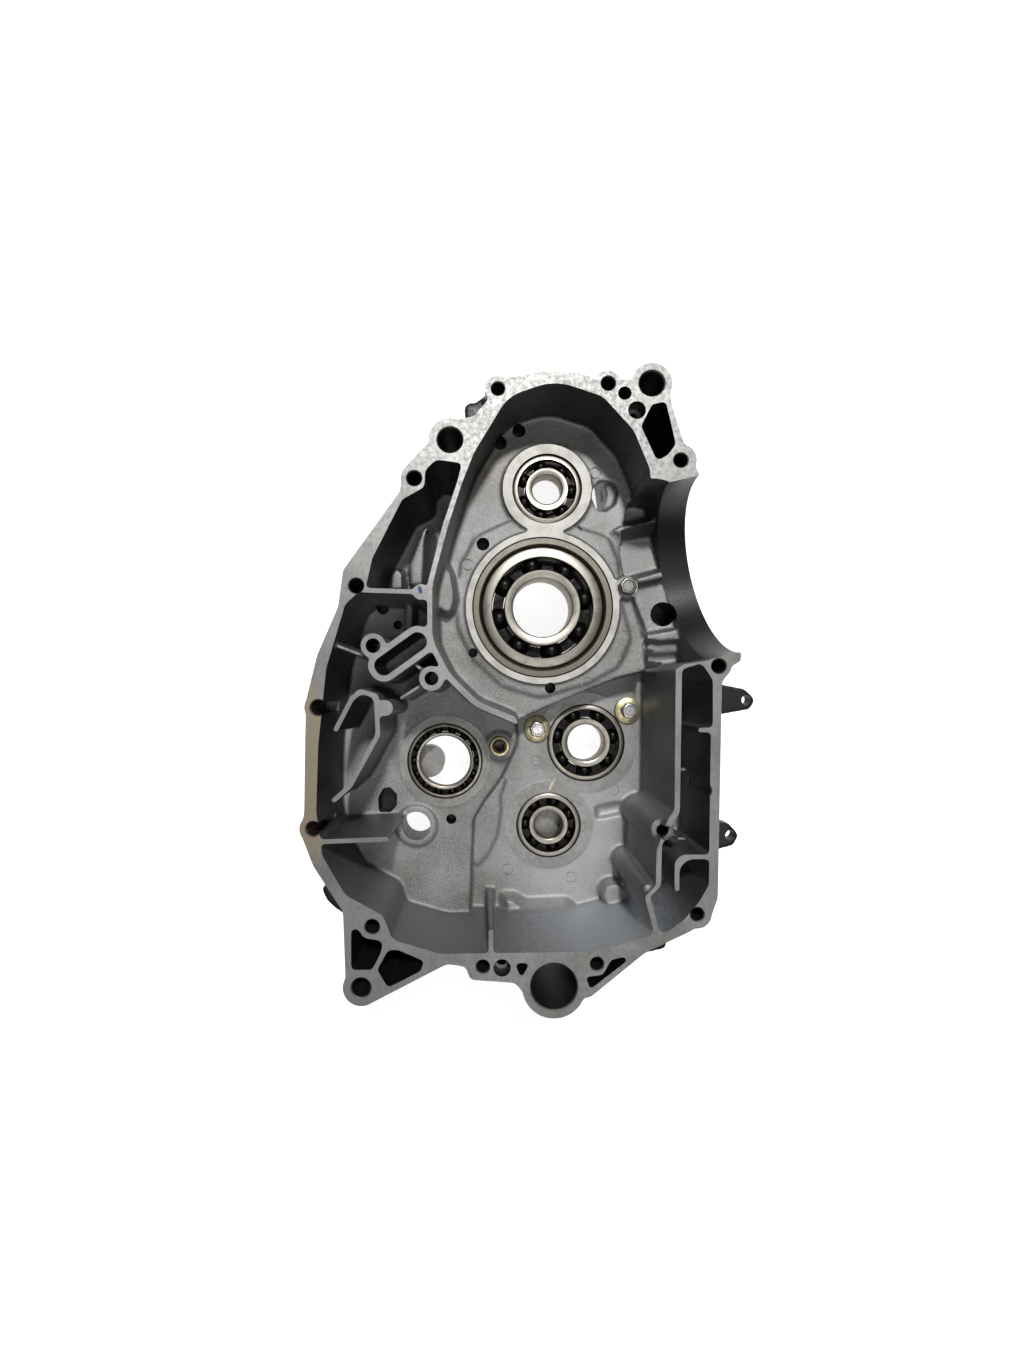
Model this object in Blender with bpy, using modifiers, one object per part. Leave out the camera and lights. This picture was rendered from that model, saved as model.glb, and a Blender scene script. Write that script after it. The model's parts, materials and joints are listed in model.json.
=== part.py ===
"""Right-hand crankcase half of a single-cylinder motorcycle engine, seen open from its parting face.

The casting lies on the gasket face of its clutch side, with the machined parting face up at +Z.
+X points up the engine to the cylinder, +Y to its front. Lengths below are in millimetres, and
places are measured from the crank axis, in plan, and from the clutch gasket face, in height.
"""

import math

import bmesh
import bpy
from mathutils import Vector

MM = 0.001

# Overall heights
PARTING_Z = 88.0
CRANK_FLOOR_DEPTH = 35.0
SPIGOT_CHANNEL_DEPTH = 46.0
GEAR_FLOOR_DEPTH = 58.0
DRUM_FLOOR_DEPTH = 50.0
BREATHER_DEPTH = 46.0
FLOOR_WALL = 5.0
DRAFT_DEGREES = 1.2
FLANGE_HEIGHT = 8.5
WALL_INSET = 1.7
CRANK_FLOOR_Z = PARTING_Z - CRANK_FLOOR_DEPTH
GEAR_FLOOR_Z = PARTING_Z - GEAR_FLOOR_DEPTH
DRUM_FLOOR_Z = PARTING_Z - DRUM_FLOOR_DEPTH
CLUTCH_TOP_Z = GEAR_FLOOR_Z - FLOOR_WALL

# Where the crank axis lies from the middle of the casting's box
CRANK_X = 6.4
CRANK_Y = 42.1

# Clearances between pieces that seat on each other, and between pieces that turn, then how fine
# arcs are: chords within an error, corners under a radius left sharp, and so on
SEAT_GAP = 0.3
RUNNING_GAP = 0.3
CUT_MARGIN = 2.0
CHORD_ERROR = 0.6
SHARP_RADIUS = 2.4
FEWEST_SIDES = 8
NEARLY_STRAIGHT = 172.0

# How far what stands on a floor or a wall reaches into it
RIB_ROOT = 1.5
FLOOR_ROOT = 2.0
LEDGE_ROOT = 2.5
BOSS_ROOT = 1.0

# Cylinder spigot, half of a bore that lies in the parting plane
SPIGOT_RADIUS = 41.8
SPIGOT_WALL = 13.6
SPIGOT_SIDES = 28
DECK_FRONT = (69.0, 57.7)
DECK_REAR = (88.3, -25.1)
DECK_BLOCK = 5.0

# Outer edge of the casting: x, y and corner radius, clockwise from the front bolt boss
OUTER_EDGE = [
    (-23.0, 101.2, 2.8), (-4.2, 104.5, 13.8), (11.9, 104.5, 13.8), (26.7, 100.3, 4.6),
    (41.8, 101.7, 1.8), (54.7, 104.5, 3.7), (56.6, 89.3, 5.5), (61.6, 73.2, 4.6),
    (*DECK_FRONT, 0.7), (*DECK_REAR, 0.7), (88.3, -28.5, 0.9), (84.2, -30.8, 1.8),
    (79.6, -38.6, 1.8), (77.7, -137.5, 2.8), (74.5, -146.7, 3.7), (64.8, -153.1, 4.6),
    (44.1, -162.8, 9.2), (18.8, -183.5, 5.5), (-8.8, -184.4, 3.7), (-15.7, -176.6, 2.8),
    (-36.4, -175.2, 2.8), (-38.2, -169.2, 2.8), (-46.9, -167.9, 4.6), (-84.2, -187.2, 1.8),
    (-93.4, -184.4, 3.7), (-94.8, -143.9, 4.6), (-108.6, -122.8, 6.4), (-114.1, -108.5, 3.7),
    (-112.7, -97.9, 3.7), (-112.3, -67.1, 9.2), (-111.8, -46.4, 3.7), (-106.7, -25.7, 11.5),
    (-97.1, -3.6, 5.5), (-94.8, 13.4, 3.7), (-68.6, 49.7, 2.3), (-67.6, 59.4, 2.3),
    (-55.7, 71.8, 3.7), (-52.9, 80.5, 3.7), (-34.5, 84.2, 2.8), (-29.0, 90.7, 1.8),
]

# Hollows cut from the parting face: the crank chamber, the channel under the spigot, the gearbox
CRANK_CHAMBER = [
    (46.4, 60.3, 2.8), (39.1, 77.8, 13.8), (24.8, 93.4, 9.2), (2.7, 100.8, 23.0),
    (-18.9, 93.4, 16.1), (-34.5, 67.7, 13.8), (-40.0, 53.9, 18.4), (-46.9, 32.7, 27.6),
    (-53.8, 6.5, 18.4), (-53.8, -18.8, 18.4), (-45.6, -34.5, 18.4), (-32.7, -47.3, 18.4),
    (-15.7, -54.2, 0.9), (-13.4, -58.4, 0.9), (1.4, -53.0, 4.6), (21.1, -45.2, 9.2),
    (39.1, -38.6, 4.6), (54.7, -35.3, 1.4),
]
SPIGOT_CHANNEL = [
    (48.7, 55.7, 1.8), (55.5, 54.3, 0.9), (75.1, -28.0, 1.4), (62.1, -30.0, 1.8),
    (54.7, -34.5, 0.9), (52.4, -18.8, 2.3), (49.7, -8.7, 4.6), (45.5, 3.7, 9.2),
    (41.8, 16.6, 9.2), (39.5, 29.5, 9.2), (41.8, 45.6, 4.6), (44.1, 54.8, 1.4),
]
GEAR_CHAMBER = [
    (-40.0, 62.6, 1.4), (-52.0, 64.4, 3.7), (-57.1, 59.4, 3.7), (-57.5, 51.6, 2.3),
    (-67.6, 46.0, 2.8), (-81.4, 18.9, 4.6), (-84.2, 6.5, 2.8), (-93.9, -2.3, 3.7),
    (-102.6, -31.7, 9.2), (-106.3, -67.1, 4.6), (-107.2, -97.9, 2.8), (-104.4, -118.2, 4.6),
    (-93.9, -136.1, 5.5), (-76.4, -145.8, 4.6), (-72.2, -156.8, 4.6), (-50.2, -163.3, 13.8),
    (21.1, -162.3, 18.4), (48.7, -154.5, 2.8), (44.1, -137.0, 1.8), (49.2, -132.0, 2.8),
    (49.7, -115.4, 1.8), (54.7, -101.6, 2.3), (57.9, -97.0, 3.7), (58.4, -31.7, 3.7),
    (54.7, -30.8, 0.9), (38.2, -34.9, 4.6), (20.2, -42.3, 9.2), (0.4, -50.6, 4.6),
    (-14.7, -57.5, 0.9), (-34.5, -49.2, 18.4), (-47.4, -36.3, 18.4), (-55.9, -19.7, 18.4),
    (-55.9, 6.9, 18.4), (-49.0, 33.6, 27.6), (-41.9, 54.8, 18.4),
]
BREATHER_CHAMBER = [
    (61.2, -32.2, 1.8), (70.4, -29.4, 2.8), (75.4, -37.2, 1.8), (75.4, -56.5, 0.9),
    (74.5, -62.5, 0.9), (74.0, -97.9, 0.9), (73.6, -131.5, 2.8), (69.4, -138.9, 3.7),
    (62.1, -147.6, 3.7), (53.8, -153.6, 1.8), (51.0, -153.1, 0.9), (46.4, -137.0, 0.9),
    (51.5, -132.0, 2.3), (52.0, -113.1, 1.4), (57.5, -102.5, 1.8), (60.2, -97.9, 3.7),
]
# Raised floor under the shift drum, and the rounded ledge along the bottom wall
DRUM_FLOOR = [
    (-12.6, -56.0, 2.0), (-12.0, -71.8, 6.0), (-21.2, -90.6, 8.0), (-29.3, -101.3, 8.0),
    (-35.7, -112.1, 8.0), (-37.3, -163.5, 2.0), (-52.0, -166.0, 8.0), (-75.0, -158.0, 5.0),
    (-79.0, -147.0, 5.0), (-96.5, -137.5, 5.0), (-107.0, -119.0, 5.0), (-109.8, -98.0, 3.0),
    (-109.0, -67.0, 5.0), (-105.0, -31.7, 9.0), (-96.0, -1.0, 4.0), (-86.8, 8.0, 4.0),
    (-84.0, 19.5, 4.0), (-69.0, 47.5, 3.0), (-59.5, 54.0, 3.0), (-59.0, 61.0, 4.0),
    (-52.0, 67.0, 3.0), (-37.0, 64.0, 2.0), (-51.0, 8.0, 10.0), (-51.0, -19.7, 10.0),
    (-43.0, -33.0, 10.0), (-32.0, -45.0, 10.0),
]
BOTTOM_LEDGE = [
    (-22.5, -146.5, 4.0), (14.0, -149.5, 4.0), (22.0, -154.0, 4.0), (22.0, -166.0, 1.0),
    (-22.5, -166.0, 1.0),
]
LEDGE_HEIGHT = 10.0

# Clutch side: one wide hollow, with a deeper recess under the crank chamber
CLUTCH_CHAMBER = [
    (-22.6, 90.7, 4.6), (-4.2, 97.1, 13.8), (11.9, 97.1, 13.8), (28.0, 90.7, 9.2),
    (41.8, 73.2, 13.8), (48.7, 59.4, 4.6), (63.0, 42.0, 6.0), (69.0, 18.0, 9.2),
    (75.0, -14.0, 8.0), (71.5, -36.0, 5.0), (70.6, -130.0, 6.0), (60.0, -143.0, 6.0),
    (38.0, -154.0, 9.2), (-31.8, -158.0, 13.8), (-68.6, -152.0, 13.8), (-88.0, -136.1, 9.2),
    (-100.0, -117.7, 9.2), (-105.0, -101.6, 9.2), (-104.5, -74.0, 13.8), (-99.0, -28.0, 13.8),
    (-88.0, -0.4, 9.2), (-72.0, 24.9, 9.2), (-51.0, 57.0, 9.2),
]
CRANK_RECESS = [
    (34.0, 50.0, 8.0), (31.0, 72.0, 12.0), (18.0, 88.0, 10.0), (2.0, 94.0, 18.0),
    (-15.0, 87.0, 14.0), (-29.0, 62.0, 14.0), (-40.0, 32.0, 20.0), (-47.0, 3.0, 16.0),
    (-45.0, -18.0, 16.0), (-36.0, -32.0, 12.0), (-14.0, -45.0, 8.0), (18.0, -33.0, 8.0),
    (36.0, -24.0, 6.0), (34.0, 15.0, 10.0),
]

# Pockets in the lugs outside the chambers
LUG_POCKETS = [
    [(47.4, 89.7, 1.4), (53.8, 91.1, 1.8), (58.4, 71.3, 1.8), (54.7, 66.3, 1.8),
     (49.7, 63.5, 1.8), (42.3, 79.6, 1.4)],
    [(-91.1, -151.8, 1.4), (-87.9, -151.8, 1.8), (-85.1, -155.9, 2.8), (-76.4, -157.3, 2.3),
     (-77.3, -162.8, 1.8), (-81.4, -170.6, 1.8), (-91.1, -170.6, 1.4)],
    [(-74.1, -161.4, 2.3), (-69.5, -161.4, 2.8), (-57.5, -166.5, 1.4), (-58.9, -171.1, 1.8),
     (-74.1, -178.9, 1.8), (-79.1, -170.6, 1.8)],
    [(-15.7, -167.4, 0.9), (-8.8, -167.4, 0.9), (-12.9, -175.2, 1.4)],
    [(28.5, -166.0, 1.4), (36.3, -164.2, 0.9), (35.4, -166.9, 0.9), (18.8, -179.8, 0.9),
     (17.0, -173.8, 0.9), (24.8, -172.9, 2.4)],
]
LUG_POCKET_DEPTH = 40.0

# Screw holes of the parting face: x, y, hole radius, boss radius
FACE_SCREW_DEPTH = 32.0
FACE_SCREWS = [
    (-23.5, 96.9, 3.0, 6.0), (27.3, 99.4, 3.2, 6.0), (60.7, 64.0, 3.2, 7.4),
    (-62.1, 55.7, 3.4, 6.2), (-88.8, 6.2, 3.4, 6.4), (-106.3, -49.9, 3.6, 6.4),
    (-108.6, -105.8, 3.4, 6.4), (-81.4, -150.8, 3.3, 6.4), (-30.4, -169.2, 3.0, 6.2),
    (22.1, -167.9, 3.0, 6.2), (68.3, -145.1, 3.1, 6.6), (78.2, -30.8, 3.3, 5.8),
    (71.5, -88.1, 3.2, 6.0), (53.8, -107.6, 2.9, 5.5),
]
# Through holes of the engine mounts: x, y, hole radius, boss radius
MOUNT_HOLES = [
    (47.4, 99.4, 5.75, 9.4), (-45.6, 73.4, 5.75, 9.9), (-86.5, -178.9, 4.4, 8.5),
    (2.3, -178.4, 10.6, 14.7),
]
# Stepped dowel holes: x, y, dowel radius, bolt radius
DOWEL_HOLES = [(40.5, 87.0, 4.1, 2.2), (-21.6, -169.7, 4.0, 2.6)]
DOWEL_DEPTH = 9.0
DOWEL_BOSS_RADIUS = 6.6

# Ribs inside the chambers, level with the parting face: their paths, as x, y and corner radius
STOUT_RIB = 2.1
THIN_RIB = 1.6
OIL_BAFFLE = [
    (-98.9, -61.6, 0.0), (-91.1, -46.4, 2.5), (-87.0, -42.3, 2.5), (-79.6, -44.6, 2.0),
    (-78.7, -62.5, 3.0), (-91.6, -86.0, 6.0), (-100.3, -93.8, 0.0),
]
BREATHER_BAFFLE = [(75.2, -118.6, 0.0), (58.9, -118.6, 6.0), (58.9, -135.2, 0.0)]
STRAIGHT_RIBS = [
    (77.0, -60.2, 67.6, -60.2), (-105.8, -111.7, -72.7, -110.4), (-87.5, 4.2, -58.9, 3.3),
]
LOW_RIBS = [
    (59.5, -79.0, 65.6, -79.0), (59.3, -111.5, 65.2, -111.5), (-100.5, -20.5, -83.3, -27.1),
    (-54.1, -36.5, -46.0, -31.0), (-54.1, -36.5, -69.9, -46.4), (-54.1, -36.5, -62.1, -29.9),
]
LOW_RIB_DEPTH = 4.0
RIB_POSTS = [(-58.9, 3.3, 3.7), (-75.5, -50.1, 3.7)]
SUMP_RIB = (-26.7, -151.0, -26.7, -166.0)
# Tubular posts with a bore: x, y, bore radius, outer radius
TUBE_POSTS = [(-81.0, -21.4, 3.4, 5.7), (-54.1, -36.5, 3.2, 5.7)]
TUBE_POST_BORE_DEPTH = 30.0
OIL_SLOT_ENDS = ((-75.9, -30.6), (-60.7, -19.7))
OIL_SLOT_RADIUS = 4.4
OIL_SLOT_WALL = 2.8
OIL_SLOT_DEPTH = 38.0

# Outside lugs on the cylinder side, below the parting face: the outline, then its hole
SIDE_LUGS = [
    ([(77.2, -37.5, 0.5), (97.5, -41.5, 1.5), (104.0, -46.9, 3.5), (99.5, -51.5, 2.0),
      (77.2, -55.5, 0.5)], (98.2, -46.9, 2.5)),
    ([(76.2, -104.0, 0.5), (89.5, -107.0, 2.0), (95.0, -113.0, 4.0), (91.5, -118.0, 2.0),
      (76.2, -122.0, 0.5)], (90.5, -113.0, 2.7)),
]
SIDE_LUG_DEPTH = 18.0
SIDE_LUG_THICKNESS = 9.0

# Gasket-face screw bosses of the clutch side
COVER_SCREWS = [
    (-24.0, 92.0), (32.0, 92.5), (57.0, 55.0), (78.0, -24.0), (73.5, -88.0), (63.0, -145.0),
    (14.0, -163.5), (-34.0, -164.5), (-82.0, -148.0), (-106.5, -100.0), (-99.0, -30.0),
    (-60.0, 44.0),
]
COVER_BOSS_RADIUS = 6.2
COVER_SCREW_RADIUS = 2.6
COVER_SCREW_DEPTH = 18.0

# Shift shaft bore, the stop boss seen behind the drum, and threaded or drilled holes in the floors
SHIFT_BORE = (-66.1, -115.0, 7.6, 10.8)
STOP_BOSS = (-60.7, -82.2, 8.7)
STOP_BOSS_HEIGHT = 14.0
FLOOR_HOLES = [
    (-47.4, -111.5, 3.1, DRUM_FLOOR_Z), (-35.5, -23.1, 2.6, CRANK_FLOOR_Z),
    (4.0, -41.1, 3.0, CRANK_FLOOR_Z), (-30.4, 32.6, 3.5, CRANK_FLOOR_Z),
    (-11.9, 90.9, 3.4, CRANK_FLOOR_Z), (-21.6, 84.7, 3.4, CRANK_FLOOR_Z),
    (-76.0, -7.4, 2.4, DRUM_FLOOR_Z), (-84.0, 1.7, 3.4, DRUM_FLOOR_Z),
]
FLOOR_HOLE_PAST_WALL = 9.0
SHIFT_BOSS_BELOW = 8.0
SHIFT_BOSS_ABOVE = 1.5
SLEEVE_SEAT_RAISE = 1.0
OIL_DRAIN_BELOW = 3.0
OIL_DRAIN = (63.8, -2.5, 6.4)
OIL_DRAIN_TOP_DEPTH = 30.0
SUMP_POST = (39.4, -151.5, 6.4)
SUMP_POST_HEIGHT = 12.0

# Bearings: x, y, face height, outer and bore diameter, width, ball diameter, pitch radius
BEARINGS = {
    "main": (0.0, 0.0, PARTING_Z - 33.0, 62.0, 30.0, 16.0, 9.5, 22.6),
    "balancer": (2.3, 60.5, PARTING_Z - 33.0, 35.0, 15.0, 11.0, 6.0, 12.9),
    "input": (26.1, -71.3, GEAR_FLOOR_Z, 42.0, 20.0, 12.0, 7.2, 15.8),
    "output": (5.6, -116.5, GEAR_FLOOR_Z, 35.0, 15.0, 11.0, 6.0, 12.7),
    "drum": (-50.8, -80.4, DRUM_FLOOR_Z, 40.0, 27.0, 7.0, 4.0, 16.75),
}
BALL_COUNTS = {"main": 8, "balancer": 7, "input": 7, "output": 7, "drum": 14}
# Shares of the ball's diameter: from its centre to a race's land, and the cage band's half height
LAND_REACH = 0.33
CAGE_RISE = 0.22
BOSS_WALL = {"main": 3.3, "balancer": 5.0, "input": 5.0, "output": 5.0, "drum": 3.0}
SHOULDER_THICKNESS = 3.0
BLIND_END = 1.4
SHOULDER_WIDTH = 4.5
INSERT_WALL = 4.3
INSERT_PROUD = 0.8
INSERT_CHAMFER = 1.2
SMALL_BALL = 8.0
TINY_BALL = 5.0
RACE_PER_FLATS = 25.0
MAIN_BOSS_HEIGHT = 3.0

# Fasteners and small fittings
RETAINER_BOLTS = {"retainer_bolt_lower": (-0.9, -63.6), "retainer_bolt_upper": (48.9, -53.6)}
RETAINER_WASHERS = {"retainer_bolt_lower": "retainer_washer_lower",
                    "retainer_bolt_upper": "retainer_washer_upper"}
STOP_BOLT = (42.8, 10.3)
STOP_BOLT_SPOT_DEPTH = 0.2
STOP_BOLT_FACE = CRANK_FLOOR_Z + MAIN_BOSS_HEIGHT - STOP_BOLT_SPOT_DEPTH
BOLT_BOSS_RADIUS = 6.0
BLIND_WALL = 2.5
WASHER_RADIUS = 7.4
WASHER_THICKNESS = 2.0
WASHER_CROWN = 0.7
WASHER_CROWN_RADIUS = 6.2
BOLT_HEX_ACROSS_FLATS = 8.0
BOLT_HEAD_HEIGHT = 4.6
BOLT_SHANK_RADIUS = 2.9
BOLT_LENGTH = 12.0
OIL_SLEEVE = (-21.5, -72.4)
OIL_SLEEVE_RADIUS = 4.2
OIL_SLEEVE_NECK_RADIUS = 3.8
OIL_SLEEVE_LIP_RADIUS = 3.4
OIL_SLEEVE_FLANGE_RADIUS = 5.3
OIL_SLEEVE_FLANGE = 1.5
OIL_SLEEVE_BORE = 2.7
OIL_SLEEVE_HEIGHT = 5.0
OIL_SLEEVE_SEAT = 6.0
OIL_SLEEVE_BOSS = 7.5

LOOKS = {
    "cast_aluminium": ((0.42, 0.41, 0.39), 0.55, 0.7),
    "bearing_steel": ((0.60, 0.57, 0.53), 0.25, 1.0),
    "cage_steel": ((0.10, 0.10, 0.11), 0.35, 1.0),
    "insert_steel": ((0.45, 0.40, 0.34), 0.35, 1.0),
    "zinc_bolt": ((0.72, 0.72, 0.70), 0.25, 1.0),
    "yellow_zinc": ((0.75, 0.70, 0.45), 0.35, 1.0),
}


def clear_scene():
    for obj in list(bpy.data.objects):
        bpy.data.objects.remove(obj, do_unlink=True)


def new_collection(name, hidden=False):
    collection = bpy.data.collections.new(name)
    bpy.context.scene.collection.children.link(collection)
    collection.hide_render = hidden
    return collection


def material(name):
    found = bpy.data.materials.get(name)
    if found:
        return found
    colour, roughness, metallic = LOOKS[name]
    made = bpy.data.materials.new(name)
    made.use_nodes = True
    shader = made.node_tree.nodes["Principled BSDF"]
    shader.inputs["Base Color"].default_value = (*colour, 1.0)
    shader.inputs["Roughness"].default_value = roughness
    shader.inputs["Metallic"].default_value = metallic
    return made


def plan(x, y):
    """A place measured from the crank axis, in the frame of the whole part."""
    return x + CRANK_X, y + CRANK_Y


def arc_step(radius):
    """The angle between the points of an arc whose chords stay within CHORD_ERROR of it."""
    return 2.0 * math.acos(1.0 - min(0.3, CHORD_ERROR / radius))


def arc_points(centre, radius, start, sweep):
    """Points along an arc, with both ends."""
    steps = max(1, math.ceil(abs(sweep) / arc_step(radius) - 0.3))
    angles = [start + sweep * i / steps for i in range(steps + 1)]
    return [Vector((centre.x + radius * math.cos(a), centre.y + radius * math.sin(a))) for a in angles]


def rounded(corners, closed=True):
    """An outline from corners of x, y and radius, with an arc put into each corner."""
    points = []
    count = len(corners)
    for i, (x, y, radius) in enumerate(corners):
        here = Vector((x, y))
        if not closed and i in (0, count - 1):
            points.append(here)
            continue
        before = Vector(corners[i - 1][:2]) - here
        after = Vector(corners[(i + 1) % count][:2]) - here
        half = before.angle(after) / 2.0
        reach = min(radius / math.tan(half), 0.45 * before.length, 0.45 * after.length)
        if radius < SHARP_RADIUS or half > math.radians(NEARLY_STRAIGHT / 2.0):
            points.append(here)
            continue
        true_radius = reach * math.tan(half)
        middle = here + (before.normalized() + after.normalized()).normalized() * (
            true_radius / math.sin(half))
        first = here + before.normalized() * reach - middle
        last = here + after.normalized() * reach - middle
        start = math.atan2(first.y, first.x)
        sweep = math.atan2(first.x * last.y - first.y * last.x, first.dot(last))
        points += arc_points(middle, true_radius, start, sweep)
    return points


def offset_outline(points, distance):
    """The closed outline moved inwards by a distance, each point along its mitre."""
    area = sum(a.x * b.y - a.y * b.x for a, b in zip(points, points[1:] + points[:1]))
    side = 1.0 if area > 0 else -1.0
    moved = []
    for i, here in enumerate(points):
        into = (here - points[i - 1]).normalized()
        out = (points[(i + 1) % len(points)] - here).normalized()
        normal = Vector((-(into.y + out.y), into.x + out.x)).normalized() * side
        stretch = max(0.5, normal.dot(Vector((-into.y, into.x)) * side))
        moved.append(here + normal * (distance / stretch))
    return moved


def inset_corners(corners, distance):
    """The same clockwise outline moved inwards, with its corner radii."""
    moved = []
    for i, (x, y, radius) in enumerate(corners):
        here = Vector((x, y))
        into = (here - Vector(corners[i - 1][:2])).normalized()
        out = (Vector(corners[(i + 1) % len(corners)][:2]) - here).normalized()
        inward = Vector((into.y + out.y, -into.x - out.x)).normalized()
        spread = max(0.4, inward.dot(Vector((into.y, -into.x))))
        convex = into.x * out.y - into.y * out.x < 0.0
        shift = here + inward * (distance / spread)
        moved.append((shift.x, shift.y, max(0.0, radius + (-distance if convex else distance))))
    return moved


def link(obj, collection):
    collection.objects.link(obj)
    if collection.hide_render:
        obj.hide_render = True
        obj.display_type = "WIRE"
    return obj


def slab(name, outline, low, high, collection, draft=0.0):
    """A flat outline given its height. With a draft, its lower end is smaller."""
    curve = bpy.data.curves.new(name, "CURVE")
    curve.dimensions = "2D"
    curve.fill_mode = "BOTH"
    curve.extrude = (high - low) / 2.0 * MM
    spline = curve.splines.new("POLY")
    spline.points.add(len(outline) - 1)
    spline.use_cyclic_u = True
    for point, place in zip(spline.points, outline):
        x, y = plan(place.x, place.y)
        point.co = (x * MM, y * MM, 0.0, 1.0)
    drawn = bpy.data.objects.new(name + "_curve", curve)
    bpy.context.scene.collection.objects.link(drawn)
    graph = bpy.context.evaluated_depsgraph_get()
    mesh = bpy.data.meshes.new_from_object(drawn.evaluated_get(graph))
    bpy.data.objects.remove(drawn, do_unlink=True)
    if draft:
        lower = offset_outline(outline, (high - low) * math.tan(math.radians(draft)))
    shape = bmesh.new()
    shape.from_mesh(mesh)
    bmesh.ops.remove_doubles(shape, verts=shape.verts, dist=1e-6)
    for vertex in shape.verts:
        if vertex.co.z > 0.0:
            vertex.co.z = high * MM
            continue
        vertex.co.z = low * MM
        if draft:
            here = Vector((vertex.co.x / MM - CRANK_X, vertex.co.y / MM - CRANK_Y))
            nearest = min(range(len(outline)), key=lambda i: (outline[i] - here).length_squared)
            x, y = plan(*lower[nearest])
            vertex.co.x = x * MM
            vertex.co.y = y * MM
    bmesh.ops.recalc_face_normals(shape, faces=shape.faces)
    shape.to_mesh(mesh)
    shape.free()
    mesh.name = name
    return link(bpy.data.objects.new(name, mesh), collection)


def post(name, x, y, radius, low, high, collection, segments=None):
    """An upright cylinder."""
    segments = segments or max(FEWEST_SIDES, 2 * math.ceil(math.pi / arc_step(radius)))
    mesh = bpy.data.meshes.new(name)
    shape = bmesh.new()
    bmesh.ops.create_cone(
        shape, cap_ends=True, segments=segments, radius1=radius * MM,
        radius2=radius * MM, depth=(high - low) * MM)
    shape.to_mesh(mesh)
    shape.free()
    obj = bpy.data.objects.new(name, mesh)
    px, py = plan(x, y)
    obj.location = (px * MM, py * MM, (high + low) / 2.0 * MM)
    return link(obj, collection)


def wall(name, path, thickness, low, high, collection):
    """A rib: a strip of even thickness along a path, built as a slab around it."""
    points = rounded(path, closed=False)
    left, right = [], []
    for i, here in enumerate(points):
        into = (here - points[max(i - 1, 0)])
        out = (points[min(i + 1, len(points) - 1)] - here)
        along = (into.normalized() + out.normalized()).normalized()
        across = Vector((-along.y, along.x))
        reference = into if into.length > 0 else out
        square = Vector((-reference.y, reference.x)).normalized()
        step = across * (thickness / 2.0 / max(0.5, across.dot(square)))
        left.append(here + step)
        right.append(here - step)
    return slab(name, left + right[::-1], low, high, collection)


def boolean(obj, operation, collection):
    modifier = obj.modifiers.new(operation.title() + "_" + collection.name, "BOOLEAN")
    modifier.operation = operation
    modifier.solver = "EXACT"
    modifier.operand_type = "COLLECTION"
    modifier.collection = collection


def turned(name, x, y, z, profile, segments, collection, look):
    """A turned piece: a closed half-section of radius and height, swept round the upright axis."""
    mesh = bpy.data.meshes.new(name)
    shape = bmesh.new()
    corners = [shape.verts.new((r * MM, 0.0, h * MM)) for r, h in profile]
    for first, second in zip(corners, corners[1:] + corners[:1]):
        shape.edges.new((first, second))
    shape.to_mesh(mesh)
    shape.free()
    obj = bpy.data.objects.new(name, mesh)
    px, py = plan(x, y)
    obj.location = (px * MM, py * MM, z * MM)
    screw = obj.modifiers.new("Turn", "SCREW")
    screw.axis = "Z"
    screw.steps = segments
    screw.render_steps = segments
    screw.use_merge_vertices = True
    screw.merge_threshold = 0.000001
    screw.use_smooth_shade = True
    mesh.materials.append(material(look))
    return link(obj, collection)


def spigot_cutter(collection):
    """The half bore of the cylinder spigot, lying in the parting plane."""
    mesh = bpy.data.meshes.new("spigot_bore")
    shape = bmesh.new()
    bmesh.ops.create_cone(
        shape, cap_ends=True, segments=SPIGOT_SIDES, radius1=SPIGOT_RADIUS * MM,
        radius2=SPIGOT_RADIUS * MM,
        depth=(SPIGOT_WALL + 2.0 * CUT_MARGIN) * MM)
    shape.to_mesh(mesh)
    shape.free()
    obj = bpy.data.objects.new("spigot_bore", mesh)
    tilt = math.atan2(DECK_REAR[0] - DECK_FRONT[0], DECK_FRONT[1] - DECK_REAR[1])
    inset = SPIGOT_WALL / 2.0
    x, y = plan(
        (DECK_FRONT[0] + DECK_REAR[0]) / 2.0 - math.cos(tilt) * inset,
        (DECK_FRONT[1] + DECK_REAR[1]) / 2.0 - math.sin(tilt) * inset)
    obj.rotation_euler = (0.0, math.pi / 2.0, tilt)
    obj.location = (x * MM, y * MM, PARTING_Z * MM)
    return link(obj, collection)


def race_segments(name):
    """An even count of flats, finer on a larger bearing."""
    return FEWEST_SIDES + 4 * math.ceil(BEARINGS[name][3] / RACE_PER_FLATS)


def seat_height(name):
    """The height of the shoulder that a bearing stands on."""
    return BEARINGS[name][2] - BEARINGS[name][5] - SEAT_GAP


def sleeve_seat_height():
    """The oil sleeve stands where two floors meet, a little above the higher one."""
    return max(DRUM_FLOOR_Z, GEAR_FLOOR_Z) + SLEEVE_SEAT_RAISE


def seat_radius(name):
    outer = BEARINGS[name][3] / 2.0 + SEAT_GAP
    return outer + INSERT_WALL + SEAT_GAP if name == "main" else outer


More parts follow.
